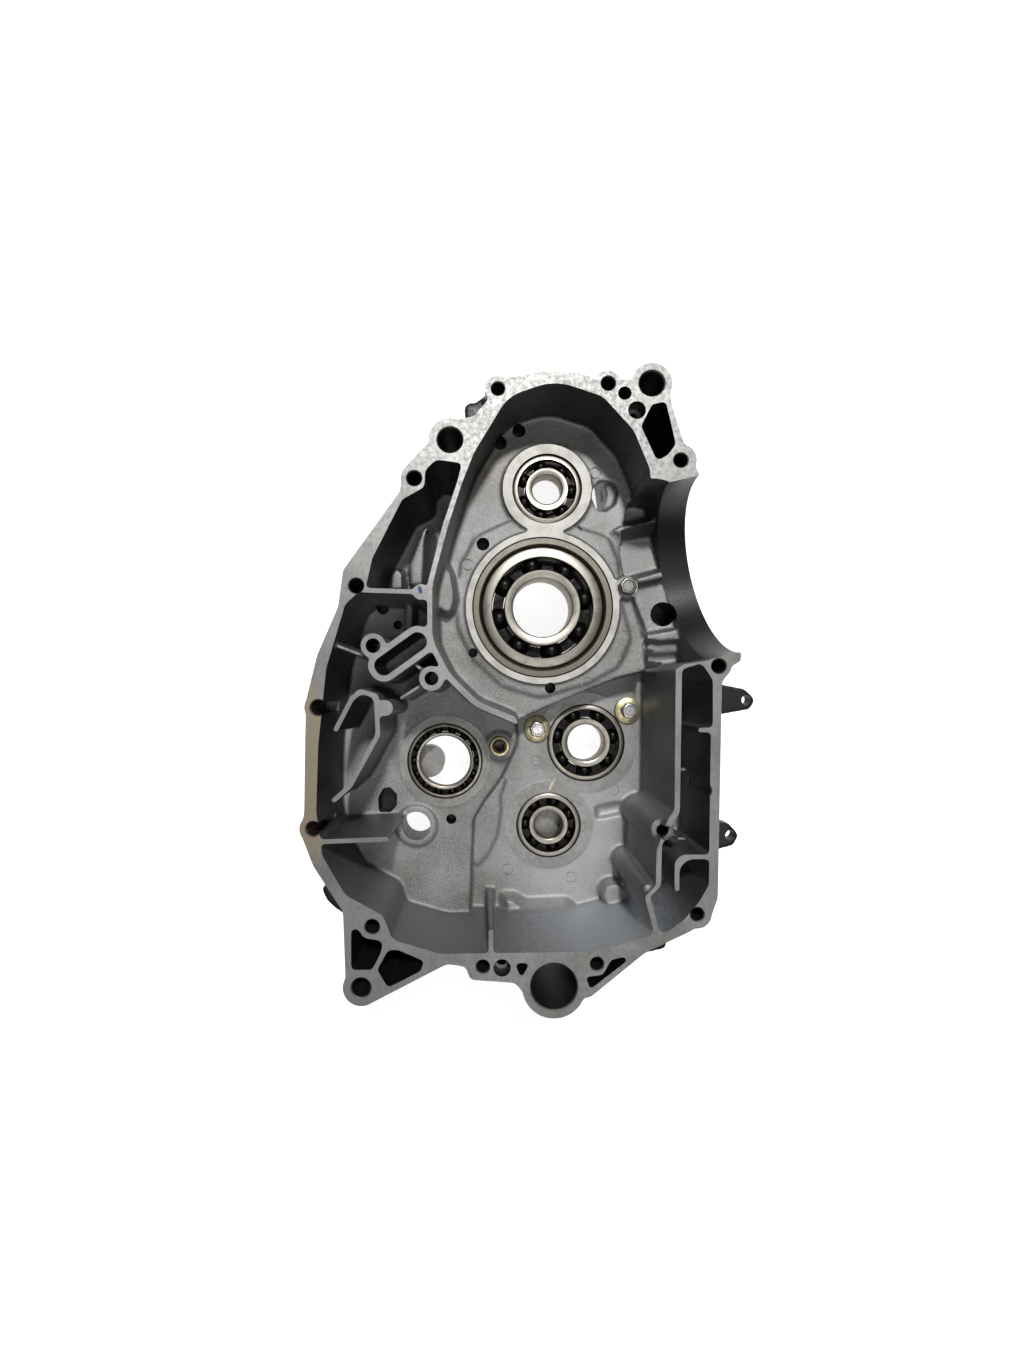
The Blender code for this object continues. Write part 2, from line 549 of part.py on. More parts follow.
def make_casting(parts):
    """The one-piece casting: a solid block, its hollows, what stands in them, then its bores."""
    flanges = new_collection("casting_flanges", hidden=True)
    hollows = new_collection("casting_hollows", hidden=True)
    fittings = new_collection("casting_fittings", hidden=True)
    bores = new_collection("casting_bores", hidden=True)

    core = rounded(inset_corners(OUTER_EDGE, WALL_INSET))
    overlap = FLANGE_HEIGHT / 2.0
    casting = slab("crankcase_casting", core, overlap, PARTING_Z - overlap, parts)
    casting.data.materials.append(material("cast_aluminium"))
    slab("parting_flange", rounded(OUTER_EDGE), PARTING_Z - FLANGE_HEIGHT, PARTING_Z, flanges)
    slab("gasket_flange", rounded(OUTER_EDGE), 0.0, FLANGE_HEIGHT, flanges)
    slab("deck_block", deck_outline(), BOSS_ROOT, PARTING_Z - BOSS_ROOT, flanges)
    cut_hollows(hollows)
    add_edge_bosses(fittings)
    add_fittings(fittings)
    cut_bores(bores)
    boolean(casting, "UNION", flanges)
    boolean(casting, "DIFFERENCE", hollows)
    boolean(casting, "UNION", fittings)
    boolean(casting, "DIFFERENCE", bores)
    return casting


def deck_outline():
    """The strip along the cylinder deck, which stays flat from one flange to the other."""
    front, rear = Vector(DECK_FRONT), Vector(DECK_REAR)
    along = (rear - front).normalized()
    inwards = Vector((along.y, -along.x)) * DECK_BLOCK
    trim = along * BOSS_ROOT
    return [front + trim, rear - trim, rear - trim + inwards, front + trim + inwards]


def add_edge_bosses(bosses):
    """Bolt bosses of both joint faces, and the outside lugs."""
    for i, (x, y, _, boss) in enumerate(FACE_SCREWS):
        low = GEAR_FLOOR_Z - RIB_ROOT if (x, y) == FACE_SCREWS[-1][:2] else 0.0
        post(f"screw_boss_{i}", x, y, boss, low, PARTING_Z, bosses)
    for i, (x, y, _, boss) in enumerate(MOUNT_HOLES):
        post(f"mount_boss_{i}", x, y, boss, 0.0, PARTING_Z, bosses)
    post("dowel_boss", *DOWEL_HOLES[1][:2], DOWEL_BOSS_RADIUS, 0.0, PARTING_Z, bosses)
    high = PARTING_Z - SIDE_LUG_DEPTH
    for i, (outline, _) in enumerate(SIDE_LUGS):
        slab(f"side_lug_{i}", rounded(outline), high - SIDE_LUG_THICKNESS, high, bosses)


def cut_hollows(hollows):
    top = PARTING_Z + CUT_MARGIN
    slab("crank_chamber", rounded(CRANK_CHAMBER), CRANK_FLOOR_Z, top, hollows, DRAFT_DEGREES)
    slab("spigot_channel", rounded(SPIGOT_CHANNEL), PARTING_Z - SPIGOT_CHANNEL_DEPTH, top, hollows)
    slab("gear_chamber", rounded(GEAR_CHAMBER), GEAR_FLOOR_Z, top, hollows, DRAFT_DEGREES)
    slab("breather_chamber", rounded(BREATHER_CHAMBER), PARTING_Z - BREATHER_DEPTH, top, hollows)
    for i, pocket in enumerate(LUG_POCKETS):
        slab(f"lug_pocket_{i}", rounded(pocket), PARTING_Z - LUG_POCKET_DEPTH, top, hollows)
    slab("clutch_chamber", rounded(CLUTCH_CHAMBER), -CUT_MARGIN, CLUTCH_TOP_Z, hollows)
    slab("crank_recess", rounded(CRANK_RECESS), -CUT_MARGIN, CRANK_FLOOR_Z - FLOOR_WALL, hollows)
    spigot_cutter(hollows)


def add_fittings(fittings):
    """Floors, ribs, posts and bearing bosses that stand in the hollows."""
    slab("drum_floor", rounded(DRUM_FLOOR), GEAR_FLOOR_Z - FLOOR_ROOT, DRUM_FLOOR_Z, fittings)
    ledge = GEAR_FLOOR_Z + LEDGE_HEIGHT
    slab("bottom_ledge", rounded(BOTTOM_LEDGE), GEAR_FLOOR_Z - LEDGE_ROOT, ledge, fittings)
    low = GEAR_FLOOR_Z - RIB_ROOT
    wall("oil_baffle", OIL_BAFFLE, STOUT_RIB, low, PARTING_Z, fittings)
    breather = PARTING_Z - BREATHER_DEPTH
    wall("breather_baffle", BREATHER_BAFFLE, STOUT_RIB, breather - RIB_ROOT, PARTING_Z, fittings)
    for i, (x0, y0, x1, y1) in enumerate(STRAIGHT_RIBS):
        wall(f"rib_{i}", [(x0, y0, 0.0), (x1, y1, 0.0)], STOUT_RIB, low, PARTING_Z, fittings)
    for i, (x0, y0, x1, y1) in enumerate(LOW_RIBS):
        high = PARTING_Z - LOW_RIB_DEPTH
        wall(f"low_rib_{i}", [(x0, y0, 0.0), (x1, y1, 0.0)], THIN_RIB, low, high, fittings)
    x0, y0, x1, y1 = SUMP_RIB
    wall("sump_rib", [(x0, y0, 0.0), (x1, y1, 0.0)], STOUT_RIB, low, PARTING_Z, fittings)
    for i, (x, y, radius) in enumerate(RIB_POSTS):
        post(f"rib_post_{i}", x, y, radius, low, PARTING_Z, fittings)
    for i, (x, y, _, radius) in enumerate(TUBE_POSTS):
        post(f"tube_post_{i}", x, y, radius, low, PARTING_Z, fittings)
    slab("oil_slot_boss", stadium(OIL_SLOT_RADIUS + OIL_SLOT_WALL), low, PARTING_Z, fittings)
    post("sump_post", *SUMP_POST, low, GEAR_FLOOR_Z + SUMP_POST_HEIGHT, fittings)
    seat = sleeve_seat_height()
    post("sleeve_boss", *OIL_SLEEVE, OIL_SLEEVE_BOSS, low, seat, fittings)
    x, y, radius = STOP_BOSS
    low_end = CLUTCH_TOP_Z - STOP_BOSS_HEIGHT
    post("stop_boss", x, y, radius, low_end, CLUTCH_TOP_Z + BOSS_ROOT, fittings)
    x, y, _, boss = SHIFT_BORE
    low_end = CLUTCH_TOP_Z - SHIFT_BOSS_BELOW
    post("shift_boss", x, y, boss, low_end, DRUM_FLOOR_Z + SHIFT_BOSS_ABOVE, fittings)
    for name, (x, y, face, *_) in BEARINGS.items():
        bottom = seat_height(name) - SHOULDER_THICKNESS
        radius = seat_radius(name) + BOSS_WALL[name]
        inside = CRANK_FLOOR_Z if face > CRANK_FLOOR_Z else face
        top = inside + MAIN_BOSS_HEIGHT if face > CRANK_FLOOR_Z else inside - BOSS_ROOT
        post(f"{name}_boss", x, y, radius, bottom, top, fittings, race_segments(name))
    for i, (x, y) in enumerate(RETAINER_BOLTS.values()):
        bottom = GEAR_FLOOR_Z - BOLT_LENGTH - BLIND_WALL
        post(f"bolt_boss_{i}", x, y, BOLT_BOSS_RADIUS, bottom, GEAR_FLOOR_Z - BOSS_ROOT, fittings)
    bottom = STOP_BOLT_FACE - BOLT_LENGTH - BLIND_WALL
    post("stop_bolt_boss", *STOP_BOLT, BOLT_BOSS_RADIUS, bottom, STOP_BOLT_FACE, fittings)
    for i, (x, y) in enumerate(COVER_SCREWS):
        high = CLUTCH_TOP_Z + FLOOR_ROOT
        post(f"cover_boss_{i}", x, y, COVER_BOSS_RADIUS, 0.0, high, fittings)


def stadium(radius):
    """The oil slot's outline: a straight slot with round ends."""
    first, second = (Vector(end) for end in OIL_SLOT_ENDS)
    along = (second - first).normalized()
    start = math.atan2(along.x, -along.y)
    return (arc_points(first, radius, start, math.pi)
            + arc_points(second, radius, start + math.pi, math.pi))


def cut_bores(bores):
    """Machined bores, threaded holes and the seats of the bearings."""
    top = PARTING_Z + CUT_MARGIN
    for i, (x, y, radius, _) in enumerate(FACE_SCREWS):
        post(f"screw_hole_{i}", x, y, radius, PARTING_Z - FACE_SCREW_DEPTH, top, bores)
    for i, (x, y, radius, _) in enumerate(MOUNT_HOLES):
        post(f"mount_hole_{i}", x, y, radius, -CUT_MARGIN, top, bores)
    for i, (x, y, dowel, bolt) in enumerate(DOWEL_HOLES):
        post(f"dowel_hole_{i}", x, y, dowel, PARTING_Z - DOWEL_DEPTH, top, bores)
        post(f"dowel_bolt_hole_{i}", x, y, bolt, PARTING_Z - FACE_SCREW_DEPTH, top, bores)
    for i, (x, y, radius, _) in enumerate(TUBE_POSTS):
        post(f"tube_bore_{i}", x, y, radius, PARTING_Z - TUBE_POST_BORE_DEPTH, top, bores)
    slab("oil_slot", stadium(OIL_SLOT_RADIUS), PARTING_Z - OIL_SLOT_DEPTH, top, bores)
    for i, (_, (x, y, radius)) in enumerate(SIDE_LUGS):
        low = PARTING_Z - SIDE_LUG_DEPTH - SIDE_LUG_THICKNESS - CUT_MARGIN
        post(f"side_lug_hole_{i}", x, y, radius, low, PARTING_Z, bores)
    for i, (x, y) in enumerate(COVER_SCREWS):
        post(f"cover_hole_{i}", x, y, COVER_SCREW_RADIUS, -CUT_MARGIN, COVER_SCREW_DEPTH, bores)
    for i, (x, y, radius, floor) in enumerate(FLOOR_HOLES):
        post(f"floor_hole_{i}", x, y, radius, floor - FLOOR_WALL - FLOOR_HOLE_PAST_WALL,
             floor + FLOOR_WALL, bores)
    x, y, radius = OIL_DRAIN
    low = CLUTCH_TOP_Z - OIL_DRAIN_BELOW
    post("oil_drain", x, y, radius, low, PARTING_Z - OIL_DRAIN_TOP_DEPTH, bores)
    x, y, radius, _ = SHIFT_BORE
    high = DRUM_FLOOR_Z + SHIFT_BOSS_ABOVE + CUT_MARGIN
    post("shift_bore", x, y, radius, -CUT_MARGIN, high, bores)
    for name, (x, y, face, outer, *_) in BEARINGS.items():
        seat = seat_height(name)
        high = face + MAIN_BOSS_HEIGHT + CUT_MARGIN
        post(f"{name}_seat", x, y, seat_radius(name), seat, high, bores, race_segments(name))
        inner = outer / 2.0 - SHOULDER_WIDTH
        low = min(CLUTCH_TOP_Z - BOSS_ROOT, seat - SHOULDER_THICKNESS - CUT_MARGIN)
        if name == "output":
            low = seat - SHOULDER_THICKNESS + BLIND_END
        post(f"{name}_shoulder", x, y, inner, low, face, bores)
    for i, (x, y) in enumerate(RETAINER_BOLTS.values()):
        bolt_hole(f"retainer_hole_{i}", x, y, GEAR_FLOOR_Z, bores)
    bolt_hole("stop_bolt_hole", *STOP_BOLT, STOP_BOLT_FACE, bores)
    x, y = OIL_SLEEVE
    seat = sleeve_seat_height()
    radius = OIL_SLEEVE_RADIUS + SEAT_GAP
    low = seat - OIL_SLEEVE_SEAT
    post("sleeve_seat", x, y, radius, low, seat + CUT_MARGIN, bores, FEWEST_SIDES)
    post("sleeve_oilway", x, y, OIL_SLEEVE_BORE, -CUT_MARGIN, seat, bores)


def bolt_hole(name, x, y, face, bores):
    radius = BOLT_SHANK_RADIUS + SEAT_GAP
    low = face - BOLT_LENGTH - SEAT_GAP
    post(name, x, y, radius, low, face + CUT_MARGIN, bores)


def groove(radius, pitch, land, inward):
    """The ball groove of a race, from one edge of its land to the other, from the top down."""
    half = math.acos(min(1.0, abs(land - pitch) / radius))
    side = -1.0 if inward else 1.0
    angles = (half, 0.0, -half)
    return [(pitch + side * radius * math.cos(a), radius * math.sin(a)) for a in angles]


def make_bearing(name, parts):
    """An outer race, an inner race, and the cage with its balls, which turn about one axis."""
    x, y, face, outer, bore, width, ball, pitch = BEARINGS[name]
    count = BALL_COUNTS[name]
    top, bottom = width / 2.0, -width / 2.0
    middle = face - top
    segments = race_segments(name)
    track = ball / 2.0 + RUNNING_GAP
    outer_land = pitch + ball * LAND_REACH
    inner_land = pitch - ball * LAND_REACH
    # The outer race's flats, not its corners, keep the running gap
    flats = 1.0 / math.cos(math.pi / segments)
    outer_profile = [(outer / 2.0, top), (outer / 2.0, bottom), (outer_land * flats, bottom)]
    outer_profile += [(r * flats, h) for r, h in groove(track, pitch, outer_land, False)[::-1]]
    outer_profile += [(outer_land * flats, top)]
    turned(f"{name}_bearing_outer_race", x, y, middle, outer_profile, segments, parts, "bearing_steel")
    inner_profile = [(inner_land, top)] + groove(track, pitch, inner_land, True)
    inner_profile += [(inner_land, bottom), (bore / 2.0, bottom), (bore / 2.0, top)]
    turned(f"{name}_bearing_inner_race", x, y, middle, inner_profile, segments, parts, "bearing_steel")

    half_band = ball * LAND_REACH - 2.0 * RUNNING_GAP
    band_rise = ball * CAGE_RISE
    band = [(pitch + half_band, band_rise), (pitch + half_band, -band_rise),
            (pitch - half_band, -band_rise), (pitch - half_band, band_rise)]
    band_segments = count if ball < TINY_BALL else 2 * count
    ball_rings = 4 if ball > SMALL_BALL else 3
    ball_sides = 6 if ball > TINY_BALL else 5
    cage = turned(
        f"{name}_bearing_ball_cage", x, y, middle, band, band_segments, parts, "cage_steel")
    balls = new_collection(f"{name}_balls", hidden=True)
    for i in range(count):
        angle = 2.0 * math.pi * i / count
        mesh = bpy.data.meshes.new(f"{name}_ball_{i}")
        shape = bmesh.new()
        bmesh.ops.create_uvsphere(
            shape, u_segments=ball_sides, v_segments=ball_rings, radius=ball / 2.0 * MM)
        shape.to_mesh(mesh)
        shape.free()
        obj = bpy.data.objects.new(mesh.name, mesh)
        px, py = plan(x + pitch * math.cos(angle), y + pitch * math.sin(angle))
        obj.location = (px * MM, py * MM, middle * MM)
        obj.rotation_euler = (0.0, 0.0, angle)
        link(obj, balls)
    boolean(cage, "UNION", balls)


def make_insert(parts):
    """The steel ring cast into the main bearing's boss."""
    x, y, face, outer, *_ = BEARINGS["main"]
    inner = outer / 2.0 + SEAT_GAP
    wall_outer = inner + INSERT_WALL
    low = seat_height("main") + SEAT_GAP
    high = face + INSERT_PROUD
    profile = [(wall_outer, high), (wall_outer, low), (inner, low),
               (inner, high - INSERT_CHAMFER), (inner + INSERT_CHAMFER, high)]
    turned("main_bearing_steel_insert", x, y, 0.0, profile, race_segments("main"), parts,
           "insert_steel")


def make_bolt(name, x, y, face, parts):
    """A hexagon bolt whose head stands on a face, with its shank in the hole below."""
    hexagon = BOLT_HEX_ACROSS_FLATS / 2.0 / math.cos(math.pi / 6.0)
    shanks = new_collection(name + "_shank", hidden=True)
    head = post(name, x, y, hexagon, face, face + BOLT_HEAD_HEIGHT, parts, 6)
    head.data.materials.append(material("zinc_bolt"))
    post(name + "_shank", x, y, BOLT_SHANK_RADIUS, face - BOLT_LENGTH, face + BOSS_ROOT, shanks)
    boolean(head, "UNION", shanks)


def make_fasteners(parts):
    for name, (x, y) in RETAINER_BOLTS.items():
        low = GEAR_FLOOR_Z + SEAT_GAP
        high = low + WASHER_THICKNESS
        inner = BOLT_SHANK_RADIUS + SEAT_GAP
        profile = [(WASHER_RADIUS, high - WASHER_CROWN), (WASHER_RADIUS, low), (inner, low),
                   (inner, high), (WASHER_CROWN_RADIUS, high)]
        turned(RETAINER_WASHERS[name], x, y, 0.0, profile, FEWEST_SIDES, parts, "yellow_zinc")
        make_bolt(name, x, y, high + SEAT_GAP, parts)
    make_bolt("stop_bolt", *STOP_BOLT, STOP_BOLT_FACE + SEAT_GAP, parts)


def make_oil_sleeve(parts):
    seat = sleeve_seat_height() + SEAT_GAP
    low = seat - OIL_SLEEVE_SEAT + SEAT_GAP
    high = seat + OIL_SLEEVE_HEIGHT
    flange = seat + OIL_SLEEVE_FLANGE
    profile = [(OIL_SLEEVE_LIP_RADIUS, high), (OIL_SLEEVE_NECK_RADIUS, flange),
               (OIL_SLEEVE_FLANGE_RADIUS, flange), (OIL_SLEEVE_FLANGE_RADIUS, seat),
               (OIL_SLEEVE_RADIUS, seat), (OIL_SLEEVE_RADIUS, low),
               (OIL_SLEEVE_BORE, low), (OIL_SLEEVE_BORE, high)]
    turned("oil_sleeve", *OIL_SLEEVE, 0.0, profile, FEWEST_SIDES, parts, "yellow_zinc")


def main():
    clear_scene()
    parts = new_collection("crankcase_half")
    make_casting(parts)
    make_insert(parts)
    for name in BEARINGS:
        make_bearing(name, parts)
    make_fasteners(parts)
    make_oil_sleeve(parts)


main()
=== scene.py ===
"""Looks for the crankcase half: high-resolution casting, bearings, fasteners, marks and the stage.

Laid out as an add-on, run as a script. Lengths in the tables are millimetres. Places in plan are
measured from the crank axis, heights from the gasket face of the clutch side.
"""

import json
import math

import bmesh
import bpy
import numpy as np
from bpy.props import FloatProperty, FloatVectorProperty, IntProperty, PointerProperty
from mathutils import Matrix, Vector

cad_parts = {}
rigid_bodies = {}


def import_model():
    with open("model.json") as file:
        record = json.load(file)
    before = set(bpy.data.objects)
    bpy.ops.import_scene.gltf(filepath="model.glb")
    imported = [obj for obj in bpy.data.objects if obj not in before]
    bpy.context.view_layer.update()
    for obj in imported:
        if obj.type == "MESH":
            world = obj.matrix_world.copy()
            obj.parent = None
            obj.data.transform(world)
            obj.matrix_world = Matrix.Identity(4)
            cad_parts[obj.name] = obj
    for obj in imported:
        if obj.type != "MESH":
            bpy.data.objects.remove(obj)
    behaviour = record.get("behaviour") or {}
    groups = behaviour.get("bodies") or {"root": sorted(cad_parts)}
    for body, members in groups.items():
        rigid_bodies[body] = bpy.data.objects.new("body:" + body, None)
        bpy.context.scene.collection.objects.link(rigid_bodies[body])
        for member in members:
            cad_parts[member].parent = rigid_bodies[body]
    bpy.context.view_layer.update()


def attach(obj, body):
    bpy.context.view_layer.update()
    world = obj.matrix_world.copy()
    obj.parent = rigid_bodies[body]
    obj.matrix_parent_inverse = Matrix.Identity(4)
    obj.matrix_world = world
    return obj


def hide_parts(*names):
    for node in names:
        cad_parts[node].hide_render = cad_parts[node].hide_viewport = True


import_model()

bl_info = {
    "name": "Crankcase half",
    "version": (1, 0, 0),
    "blender": (4, 5, 0),
    "location": "View3D > Sidebar > Crankcase",
    "description": "Builds a motorcycle crankcase half with its bearings, screws and stage",
    "category": "Object",
}

MM = 0.001
CRANK_X = 6.4
CRANK_Y = 42.1

# Heights
PARTING_Z = 88.0
CRANK_FLOOR_Z = 53.0
CHANNEL_FLOOR_Z = 42.0
GEAR_FLOOR_Z = 30.0
DRUM_FLOOR_Z = 38.0
BREATHER_FLOOR_Z = 42.0
CLUTCH_TOP_Z = 25.0
FLOOR_WALL = 5.0
DRAFT_DEGREES = 1.4
STOCK = 1.6
FLANGE = 8.5
WALL_INSET = 1.7

# How far hollows and cuts run past the metal, and fittings and bosses into it
HOLLOW_MARGIN = 2.0
CUT_MARGIN = 3.0
ROOT = 2.0
BOSS_ROOT = 1.0

# Corners: the share of an edge that one may take, the least that is rounded, and how fine arcs are
EDGE_SHARE = 0.46
SMALLEST_REACH = 0.15
ARC_FINENESS = 2.2

# Cylinder spigot
SPIGOT_RADIUS = 41.8
SPIGOT_WALL = 13.6
SPIGOT_MARGIN = 6.0
DECK_FRONT = (69.0, 57.7)
DECK_REAR = (88.3, -25.1)
DECK_BLOCK = 5.0
DECK_MILL = (6.0, 96.0, 140.0)
DECK_TILT = math.atan2(DECK_REAR[0] - DECK_FRONT[0], DECK_FRONT[1] - DECK_REAR[1])

# Outlines: x, y and corner radius
OUTER_EDGE = [
    (-23.0, 101.2, 2.8), (-4.2, 104.5, 13.8), (11.9, 104.5, 13.8), (26.7, 100.3, 4.6),
    (41.8, 101.7, 1.8), (54.7, 104.5, 3.7), (56.6, 89.3, 5.5), (61.6, 73.2, 4.6),
    (*DECK_FRONT, 0.7), (*DECK_REAR, 0.7), (88.3, -28.5, 0.9), (84.2, -30.8, 1.8),
    (79.6, -38.6, 1.8), (77.7, -137.5, 2.8), (74.5, -146.7, 3.7), (64.8, -153.1, 4.6),
    (44.1, -162.8, 9.2), (18.8, -183.5, 5.5), (-8.8, -184.4, 3.7), (-15.7, -176.6, 2.8),
    (-36.4, -175.2, 2.8), (-38.2, -169.2, 2.8), (-46.9, -167.9, 4.6), (-84.2, -187.2, 1.8),
    (-93.4, -184.4, 3.7), (-94.8, -143.9, 4.6), (-108.6, -122.8, 6.4), (-114.1, -108.5, 3.7),
    (-112.7, -97.9, 3.7), (-112.3, -67.1, 9.2), (-111.8, -46.4, 3.7), (-106.7, -25.7, 11.5),
    (-97.1, -3.6, 5.5), (-94.8, 13.4, 3.7), (-68.6, 49.7, 2.3), (-67.6, 59.4, 2.3),
    (-55.7, 71.8, 3.7), (-52.9, 80.5, 3.7), (-34.5, 84.2, 2.8), (-29.0, 90.7, 1.8),
]
CRANK_CHAMBER = [
    (46.4, 60.3, 2.8), (39.1, 77.8, 13.8), (24.8, 93.4, 9.2), (2.7, 100.8, 23.0),
    (-18.9, 93.4, 16.1), (-34.5, 67.7, 13.8), (-40.0, 53.9, 18.4), (-46.9, 32.7, 27.6),
    (-53.8, 6.5, 18.4), (-53.8, -18.8, 18.4), (-45.6, -34.5, 18.4), (-32.7, -47.3, 18.4),
    (-15.7, -54.2, 0.9), (-13.4, -58.4, 0.9), (1.4, -53.0, 4.6), (21.1, -45.2, 9.2),
    (39.1, -38.6, 4.6), (54.7, -35.3, 1.4),
]
SPIGOT_CHANNEL = [
    (48.7, 55.7, 1.8), (55.5, 54.3, 0.9), (75.1, -28.0, 1.4), (62.1, -30.0, 1.8),
    (54.7, -34.5, 0.9), (52.4, -18.8, 2.3), (49.7, -8.7, 4.6), (45.5, 3.7, 9.2),
    (41.8, 16.6, 9.2), (39.5, 29.5, 9.2), (41.8, 45.6, 4.6), (44.1, 54.8, 1.4),
]
GEAR_CHAMBER = [
    (-40.0, 62.6, 1.4), (-52.0, 64.4, 3.7), (-57.1, 59.4, 3.7), (-57.5, 51.6, 2.3),
    (-67.6, 46.0, 2.8), (-81.4, 18.9, 4.6), (-84.2, 6.5, 2.8), (-93.9, -2.3, 3.7),
    (-102.6, -31.7, 9.2), (-106.3, -67.1, 4.6), (-107.2, -97.9, 2.8), (-104.4, -118.2, 4.6),
    (-93.9, -136.1, 5.5), (-76.4, -145.8, 4.6), (-72.2, -156.8, 4.6), (-50.2, -163.3, 13.8),
    (21.1, -162.3, 18.4), (48.7, -154.5, 2.8), (44.1, -137.0, 1.8), (49.2, -132.0, 2.8),
    (49.7, -115.4, 1.8), (54.7, -101.6, 2.3), (57.9, -97.0, 3.7), (58.4, -31.7, 3.7),
    (54.7, -30.8, 0.9), (38.2, -34.9, 4.6), (20.2, -42.3, 9.2), (0.4, -50.6, 4.6),
    (-14.7, -57.5, 0.9), (-34.5, -49.2, 18.4), (-47.4, -36.3, 18.4), (-55.9, -19.7, 18.4),
    (-55.9, 6.9, 18.4), (-49.0, 33.6, 27.6), (-41.9, 54.8, 18.4),
]
BREATHER_CHAMBER = [
    (61.2, -32.2, 1.8), (70.4, -29.4, 2.8), (75.4, -37.2, 1.8), (75.4, -56.5, 0.9),
    (74.5, -62.5, 0.9), (74.0, -97.9, 0.9), (73.6, -131.5, 2.8), (69.4, -138.9, 3.7),
    (62.1, -147.6, 3.7), (53.8, -153.6, 1.8), (51.0, -153.1, 0.9), (46.4, -137.0, 0.9),
    (51.5, -132.0, 2.3), (52.0, -113.1, 1.4), (57.5, -102.5, 1.8), (60.2, -97.9, 3.7),
]
DRUM_FLOOR = [
    (-12.6, -56.0, 2.0), (-12.0, -71.8, 6.0), (-21.2, -90.6, 8.0), (-29.3, -101.3, 8.0),
    (-35.7, -112.1, 8.0), (-37.3, -163.5, 2.0), (-52.0, -166.0, 8.0), (-75.0, -158.0, 5.0),
    (-79.0, -147.0, 5.0), (-96.5, -137.5, 5.0), (-107.0, -119.0, 5.0), (-109.8, -98.0, 3.0),
    (-109.0, -67.0, 5.0), (-105.0, -31.7, 9.0), (-96.0, -1.0, 4.0), (-86.8, 8.0, 4.0),
    (-84.0, 19.5, 4.0), (-69.0, 47.5, 3.0), (-59.5, 54.0, 3.0), (-59.0, 61.0, 4.0),
    (-52.0, 67.0, 3.0), (-37.0, 64.0, 2.0), (-51.0, 8.0, 10.0), (-51.0, -19.7, 10.0),
    (-43.0, -33.0, 10.0), (-32.0, -45.0, 10.0),
]
CLUTCH_CHAMBER = [
    (-22.6, 90.7, 4.6), (-4.2, 97.1, 13.8), (11.9, 97.1, 13.8), (28.0, 90.7, 9.2),
    (41.8, 73.2, 13.8), (48.7, 59.4, 4.6), (63.0, 42.0, 6.0), (69.0, 18.0, 9.2),
    (75.0, -14.0, 8.0), (71.5, -36.0, 5.0), (70.6, -130.0, 6.0), (60.0, -143.0, 6.0),
    (38.0, -154.0, 9.2), (-31.8, -158.0, 13.8), (-68.6, -152.0, 13.8), (-88.0, -136.1, 9.2),
    (-100.0, -117.7, 9.2), (-105.0, -101.6, 9.2), (-104.5, -74.0, 13.8), (-99.0, -28.0, 13.8),
    (-88.0, -0.4, 9.2), (-72.0, 24.9, 9.2), (-51.0, 57.0, 9.2),
]
CRANK_RECESS = [
    (34.0, 50.0, 8.0), (31.0, 72.0, 12.0), (18.0, 88.0, 10.0), (2.0, 94.0, 18.0),
    (-15.0, 87.0, 14.0), (-29.0, 62.0, 14.0), (-40.0, 32.0, 20.0), (-47.0, 3.0, 16.0),
    (-45.0, -18.0, 16.0), (-36.0, -32.0, 12.0), (-14.0, -45.0, 8.0), (18.0, -33.0, 8.0),
    (36.0, -24.0, 6.0), (34.0, 15.0, 10.0),
]
LUG_POCKETS = [
    [(47.4, 89.7, 1.4), (53.8, 91.1, 1.8), (58.4, 71.3, 1.8), (54.7, 66.3, 1.8),
     (49.7, 63.5, 1.8), (42.3, 79.6, 1.4)],
    [(-91.1, -151.8, 1.4), (-87.9, -151.8, 1.8), (-85.1, -155.9, 2.8), (-76.4, -157.3, 2.3),
     (-77.3, -162.8, 1.8), (-81.4, -170.6, 1.8), (-91.1, -170.6, 1.4)],
    [(-74.1, -161.4, 2.3), (-69.5, -161.4, 2.8), (-57.5, -166.5, 1.4), (-58.9, -171.1, 1.8),
     (-74.1, -178.9, 1.8), (-79.1, -170.6, 1.8)],
    [(-15.7, -167.4, 0.9), (-8.8, -167.4, 0.9), (-12.9, -175.2, 1.4)],
    [(28.5, -166.0, 1.4), (36.3, -164.2, 0.9), (35.4, -166.9, 0.9), (18.8, -179.8, 0.9),
     (17.0, -173.8, 0.9), (24.8, -172.9, 2.4)],
]
LUG_POCKET_DEPTH = 40.0
CHANNEL_DRAFT = 0.6
BREATHER_DRAFT = 0.4
POCKET_DRAFT = 0.5

# Holes of the parting face: x, y, hole radius, boss radius
FACE_SCREWS = [
    (-23.5, 96.9, 3.0, 6.0), (27.3, 99.4, 3.2, 6.0), (60.7, 64.0, 3.2, 7.4),
    (-62.1, 55.7, 3.4, 6.2), (-88.8, 6.2, 3.4, 6.4), (-106.3, -49.9, 3.6, 6.4),
    (-108.6, -105.8, 3.4, 6.4), (-81.4, -150.8, 3.3, 6.4), (-30.4, -169.2, 3.0, 6.2),
    (22.1, -167.9, 3.0, 6.2), (68.3, -145.1, 3.1, 6.6), (78.2, -30.8, 3.3, 5.8),
    (71.5, -88.1, 3.2, 6.0), (53.8, -107.6, 2.9, 5.5),
]
FACE_SCREW_DEPTH = 32.0
LAST_SCREW_ROOT = 2.5
MOUNT_HOLES = [
    (47.4, 99.4, 5.75, 9.4), (-45.6, 73.4, 5.75, 9.9), (-86.5, -178.9, 4.4, 8.5),
    (2.3, -178.4, 10.6, 14.7),
]
DOWEL_HOLES = [(40.5, 87.0, 4.1, 2.2), (-21.6, -169.7, 4.0, 2.6)]
DOWEL_DEPTH = 9.0
DOWEL_BOSS_RADIUS = 6.6
